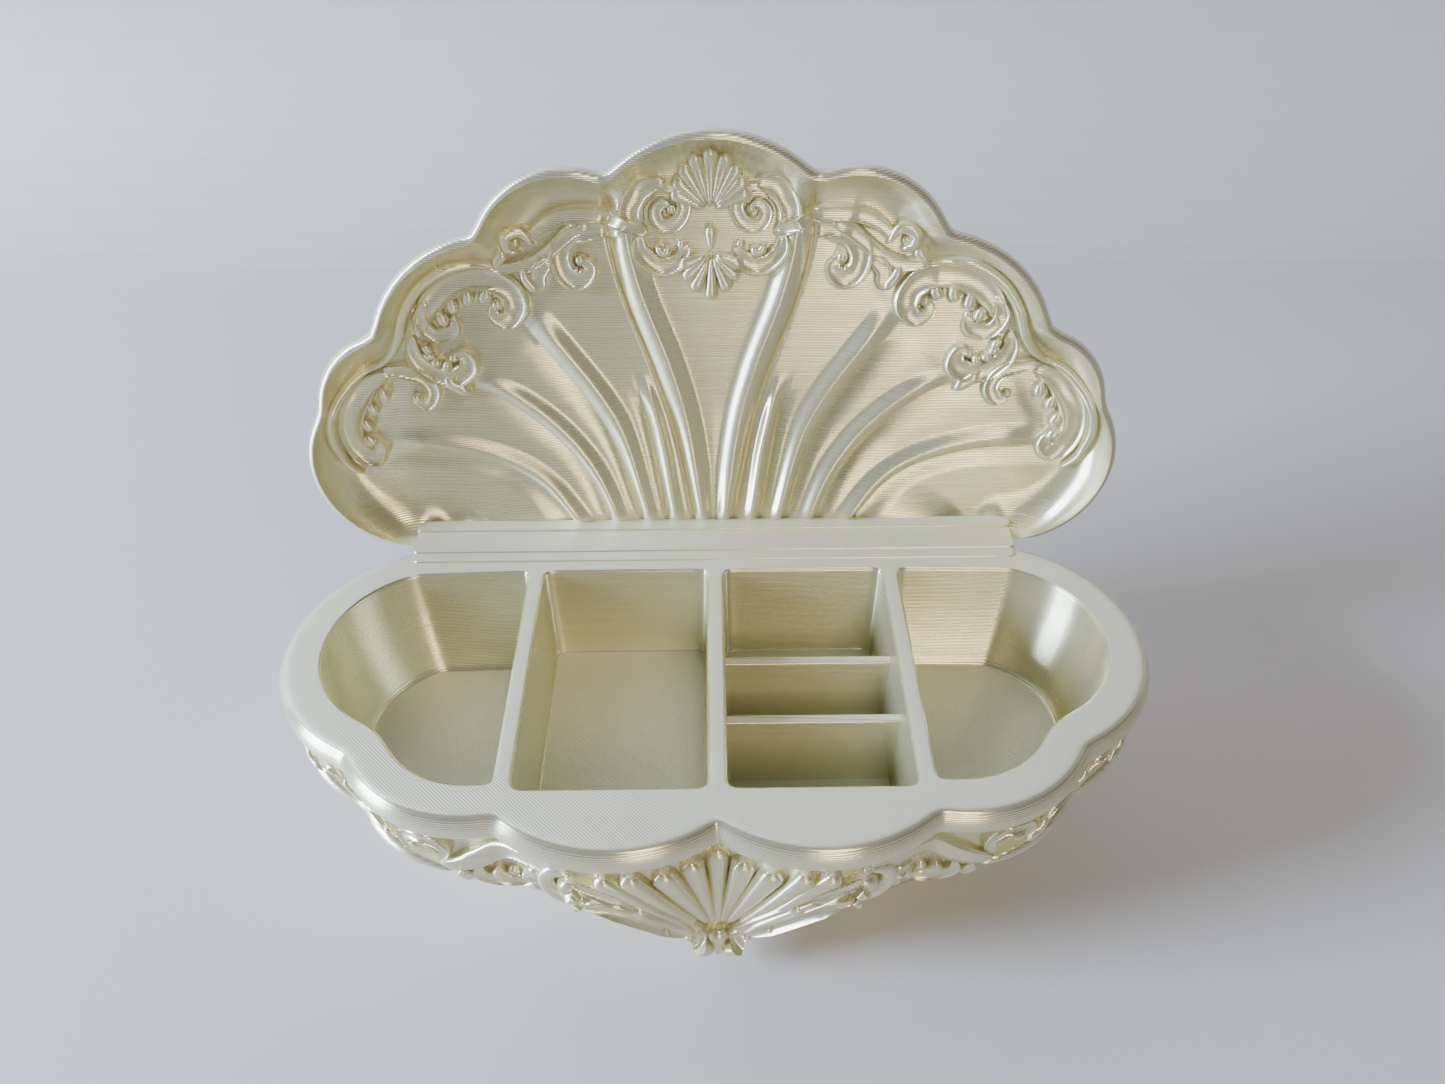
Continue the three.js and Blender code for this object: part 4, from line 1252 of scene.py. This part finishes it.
at_wall = [e for e in floor_mesh.edges if all(abs(v.co.y - WALL_Y) < NEAR_WALL for v in e.verts)]
fold = [e for e in at_wall if all(v.co.z < NEAR_WALL for v in e.verts)]
round_edges(floor_mesh, fold, COVE_RADIUS, 12)
studio_floor = finish_mesh(floor_mesh, "studio_floor")
studio_floor.data.materials.append(paper)

# %% [markdown]
# One broad cool light stands for a window on the left. It rakes across the lid, so that only slopes
# that face it shine. A weak warm light from above the front stands for the room, and a faint even sky
# keeps the shadows open.

# %% Lights
def area_light(name, stands_at, aim, size, power, colour):
    data = bpy.data.lights.new(name, "AREA")
    data.shape = "SQUARE"
    data.size = size
    data.energy = power
    data.color = linear(colour)[:3]
    light = bpy.data.objects.new(name, data)
    light.location = stands_at
    light.rotation_euler = (Vector(aim) - Vector(stands_at)).to_track_quat("-Z", "Y").to_euler()
    bpy.context.scene.collection.objects.link(light)
    print(name, "light:", power, "W")


area_light("window", (-1.15, -0.24, 0.5), (0, 0, 0.06), 0.42, 48.0, "#D6E7FF")
area_light("room", (0.25, -1.1, 0.85), (0, 0, 0.05), 0.4, 9.0, "#FFEBC4")
world = bpy.data.worlds.new("studio_air")
world.use_nodes = True
world.node_tree.nodes["Background"].inputs["Color"].default_value = linear("#DADDE4")
world.node_tree.nodes["Background"].inputs["Strength"].default_value = 0.15
bpy.context.scene.world = world

# %% [markdown]
# The camera stands where the photograph was taken from: above the front edge, looking down on the
# wells and straight into the lid. Its place was worked out from the left and right points of the rim.

# %% Camera
FOCAL_PIXELS = 1150.0
IMAGE_WIDTH = 1445.0
SENSOR = 36.0
PITCH = math.radians(40.03)
YAW = math.radians(-0.58)
ROLL = math.radians(-0.22)
CAMERA_PLACE = place(-0.1, -176.0, DECK + 147.3)

camera_data = bpy.data.cameras.new("camera")
camera_data.sensor_width = SENSOR
camera_data.lens = SENSOR * FOCAL_PIXELS / IMAGE_WIDTH
camera_data.clip_start = 0.01
camera = bpy.data.objects.new("camera", camera_data)
tilt = Matrix.Rotation(math.pi / 2 - PITCH, 4, "X") @ Matrix.Rotation(ROLL, 4, "Z")
camera.matrix_world = Matrix.Translation(CAMERA_PLACE) @ Matrix.Rotation(YAW, 4, "Z") @ tilt
bpy.context.scene.collection.objects.link(camera)
bpy.context.scene.camera = camera
print("lens:", round(camera_data.lens, 1), "mm")
